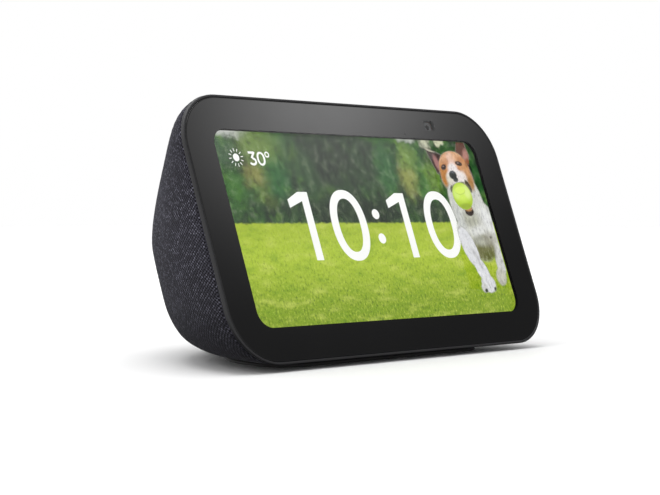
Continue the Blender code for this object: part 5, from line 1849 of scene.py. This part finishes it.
@dataclass
class Stage:
    """The pale floor, the soft studio light and the camera."""

    floor_size: float = 8.0
    floor_tone: float = 0.86
    camera_place: tuple[float, float, float] = (-0.3946, -0.3821, 0.0457)
    camera_yaw: float = 46.73
    camera_pitch: float = -1.18
    lens: float = 90.98
    glow_way: tuple[float, float] = (-33.6, 30.0)
    glow_spread: float = 2.85
    glow: float = 2.85
    shade_way: tuple[float, float] = (-33.0, 20.0)
    shade_spread: float = 26.0
    shade: float = 0.92
    ground_light: float = 0.02
    fade: tuple[float, float] = (0.10, 0.55)
    fade_light: float = 0.3

    def build_floor(self) -> bpy.types.Object:
        """A wide flat floor whose glow swells up only far behind the light's reach."""
        count = 24
        line = np.linspace(-0.5, 0.5, count + 1) * self.floor_size
        points = np.array([(x, y, 0.0) for y in line for x in line])
        wide = count + 1
        corners = [r * wide + c for r in range(count) for c in range(count)]
        faces = [(a, a + 1, a + wide + 1, a + wide) for a in corners]
        floor = make_piece("floor", points, faces)
        g = Graph("pale_floor")
        mottle = g.noise(g.place(), 6.0, 3.0)
        body = g.mix(g.ease(mottle, 0.3, 0.7), (self.floor_tone * 0.99,) * 3, (self.floor_tone,) * 3)
        away = g.vector("LENGTH", g.place()).outputs["Value"]
        g.principled(
            Base_Color=body, Roughness=0.6, Specular_IOR_Level=0.2, Normal=g.bump(mottle, 0.02 * MM),
            Emission_Color=(1.0, 1.0, 1.0), Emission_Strength=g.ease(away, *self.fade, 0.0, self.fade_light),
        )
        floor.data.materials.append(g.material)
        floor.visible_diffuse = False
        floor.visible_glossy = False
        return floor

    @staticmethod
    def way(azimuth: float, elevation: float) -> tuple[float, float, float]:
        """A direction from degrees round from +X and degrees up."""
        a, e = math.radians(azimuth), math.radians(elevation)
        return (math.cos(a) * math.cos(e), math.sin(a) * math.cos(e), math.sin(e))

    def build_light(self) -> None:
        """White surroundings with one brighter and one dimmer region, and two soft lamps."""
        world = bpy.data.worlds.new("studio")
        bpy.context.scene.world = world
        world.use_nodes = True
        tree = world.node_tree
        tree.nodes.clear()
        new, link = tree.nodes.new, tree.links.new
        place = new("ShaderNodeTexCoord")

        def lobe(way: tuple[float, float, float], spread: float, strength: float) -> object:
            """Light that falls off as a bell round a direction, spread degrees wide."""
            dot = new("ShaderNodeVectorMath")
            dot.operation = "DOT_PRODUCT"
            link(place.outputs["Generated"], dot.inputs[0])
            dot.inputs[1].default_value = way
            width = math.radians(spread) ** 2
            steps = (
                ("MULTIPLY_ADD", 1 / width, -1 / width), ("EXPONENT", 0.0, 0.0), ("MULTIPLY", strength, 0.0),
            )
            socket = dot.outputs["Value"]
            for operation, second, third in steps:
                node = new("ShaderNodeMath")
                node.operation = operation
                link(socket, node.inputs[0])
                node.inputs[1].default_value = second
                node.inputs[2].default_value = third
                socket = node.outputs[0]
            return socket

        def low(value: object) -> object:
            """Eases from a dark ground to the white of the walls at the horizon."""
            node = new("ShaderNodeMapRange")
            link(value, node.inputs["Value"])
            ends = {"From Min": -0.5, "From Max": -0.02, "To Min": self.ground_light, "To Max": 1.06}
            for name, number in ends.items():
                node.inputs[name].default_value = number
            return node.outputs[0]

        split = new("ShaderNodeSeparateXYZ")
        link(place.outputs["Generated"], split.inputs[0])
        dim = new("ShaderNodeMath")
        dim.operation = "SUBTRACT"
        link(low(split.outputs[2]), dim.inputs[0])
        link(lobe(self.way(*self.shade_way), self.shade_spread, self.shade), dim.inputs[1])
        dim.use_clamp = True
        glow = lobe(self.way(*self.glow_way), self.glow_spread, self.glow)
        total = new("ShaderNodeMath")
        total.operation = "ADD"
        link(dim.outputs[0], total.inputs[0])
        link(glow, total.inputs[1])
        background = new("ShaderNodeBackground")
        link(total.outputs[0], background.inputs["Strength"])
        background.inputs["Color"].default_value = (1.0, 1.0, 1.0, 1.0)
        link(background.outputs[0], new("ShaderNodeOutputWorld").inputs[0])
        for name, spot, size, power in (
            ("overhead", (-0.1, 0.15, 1.3), 1.1, 9.0),
            ("left_fill", (-1.2, 0.3, 1.0), 0.8, 2.0),
        ):
            lamp = bpy.data.lights.new(name, "AREA")
            lamp.shape = "DISK"
            lamp.size = size
            lamp.energy = power
            lamp_object = bpy.data.objects.new(name, lamp)
            bpy.context.scene.collection.objects.link(lamp_object)
            lamp_object.location = spot
            aim = Vector((0, 0, 0.03)) - Vector(spot)
            lamp_object.rotation_euler = aim.to_track_quat("-Z", "Y").to_euler()

    def build_camera(self) -> None:
        """The camera, level with the object and to its left."""
        camera = bpy.data.cameras.new("camera")
        camera.lens = self.lens
        camera.clip_start = 0.01
        made = bpy.data.objects.new("camera", camera)
        bpy.context.scene.collection.objects.link(made)
        made.location = self.camera_place
        made.rotation_euler = (math.radians(90 + self.camera_pitch), 0.0, -math.radians(self.camera_yaw))
        bpy.context.scene.camera = made
        bpy.context.scene.view_settings.view_transform = "Standard"


def slot_finishes(middle: tuple[float, float, float]) -> dict[str, bpy.types.Material]:
    """The finish of every material slot that a CAD node keeps.

    Args:
        middle: The camera lens's middle.

    Returns:
        Materials by slot name.
    """
    finishes = (
        ("frame_plastic", Moulded("frame_plastic", tone(38, 38, 40), 0.42, 0.25 * MM)),
        ("shell_plastic", Moulded("shell_plastic", tone(34, 34, 37), 0.5)),
        ("rubber", Rubber("rubber", tone(22, 22, 23))),
        ("button_plastic", Moulded("button_plastic", tone(64, 63, 67), 0.38, 0.2 * MM)),
        ("steel", Metal("steel", tone(190, 190, 188))),
        ("screw_steel", Metal("screw_steel", tone(120, 120, 124), 0.34, (2500.0, 2500.0, 700.0))),
        ("brass", Metal("brass", tone(206, 172, 96), 0.28, (600.0, 3000.0, 600.0))),
        ("copper", Metal("copper", tone(198, 118, 74), 0.3, (300.0, 9000.0, 300.0))),
        ("circuit_board", Board("circuit_board")),
        ("chip", Moulded("chip", tone(30, 30, 32), 0.55, 0.12 * MM, 0.02 * MM)),
        ("thermal_pad", Fibrous("thermal_pad", tone(128, 140, 160), tone(158, 168, 186), 0.8)),
        ("lens_glass", Optic("lens_glass", middle)),
        ("shutter_plastic", Moulded("shutter_plastic", tone(196, 96, 30), 0.5)),
        ("magnet", Metal("magnet", tone(96, 96, 100), 0.45, (500.0, 500.0, 500.0))),
        ("cone_paper", Fibrous("cone_paper", tone(38, 38, 40), tone(62, 62, 62), 0.75, depth=0.06 * MM)),
        (
            "ribbon",
            Fibrous("ribbon", tone(168, 96, 34), tone(196, 122, 52), 0.45, (60.0, 60.0, 3000.0), 0.01 * MM),
        ),
    )
    return {slot: finish.material() for slot, finish in finishes}


def dress_nodes(frame: dict, finishes: dict[str, bpy.types.Material]) -> None:
    """Give every carried-over CAD node the finish of its slot.

    Args:
        finishes: Materials by slot name.
    """
    for name, node in frame["nodes"].items():
        slot = node.data.materials[0].name.split(".")[0]
        finish = finishes.get(slot)
        if finish:
            node.data.materials.clear()
            node.data.materials.append(finish)
            LOG.info("%s: %s", name, slot)


def main() -> None:
    """Load the frame, build every piece and report it."""
    logging.basicConfig(level=logging.INFO, format="%(message)s")
    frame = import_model()
    stage = Stage()
    stage.build_camera()
    stage.build_floor()
    stage.build_light()

    low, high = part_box("camera_lens")
    finishes = slot_finishes(tuple((low + high) / 2))
    dress_nodes(frame, finishes)

    face = Face()
    form = BodyForm(face)
    rim = FrontFrame(form)
    rim.build(finishes["frame_plastic"])
    screen = Screen(face)
    screen.build_glass(CoverGlass("cover_glass", screen.windows()))
    screen.build_panel(MeadowPicture("meadow_picture").material(), finishes["steel"])
    figures = Lit("lit_figures").material()
    screen.build_clock(figures)
    screen.build_weather(figures)
    screen.build_dog()
    screen.build_camera_mask(Moulded("mask_print", tone(236, 236, 240), 0.5).material())
    cover = KnitCover(form, rim)
    cover.build(Knit("knit", cover.map_name).material())
    controls = Controls(rim)
    for name, x in zip(controls.names, rim.button_x):
        controls.build_button(name, x, finishes["button_plastic"])
    controls.build_marks(Moulded("mark_print", tone(150, 150, 152), 0.6).material())
    controls.build_slider(finishes["button_plastic"])
    Underside(cover).build_foot(finishes["rubber"])
    Inlet().build_ring(finishes["steel"])


if __name__ == "__main__":
    main()
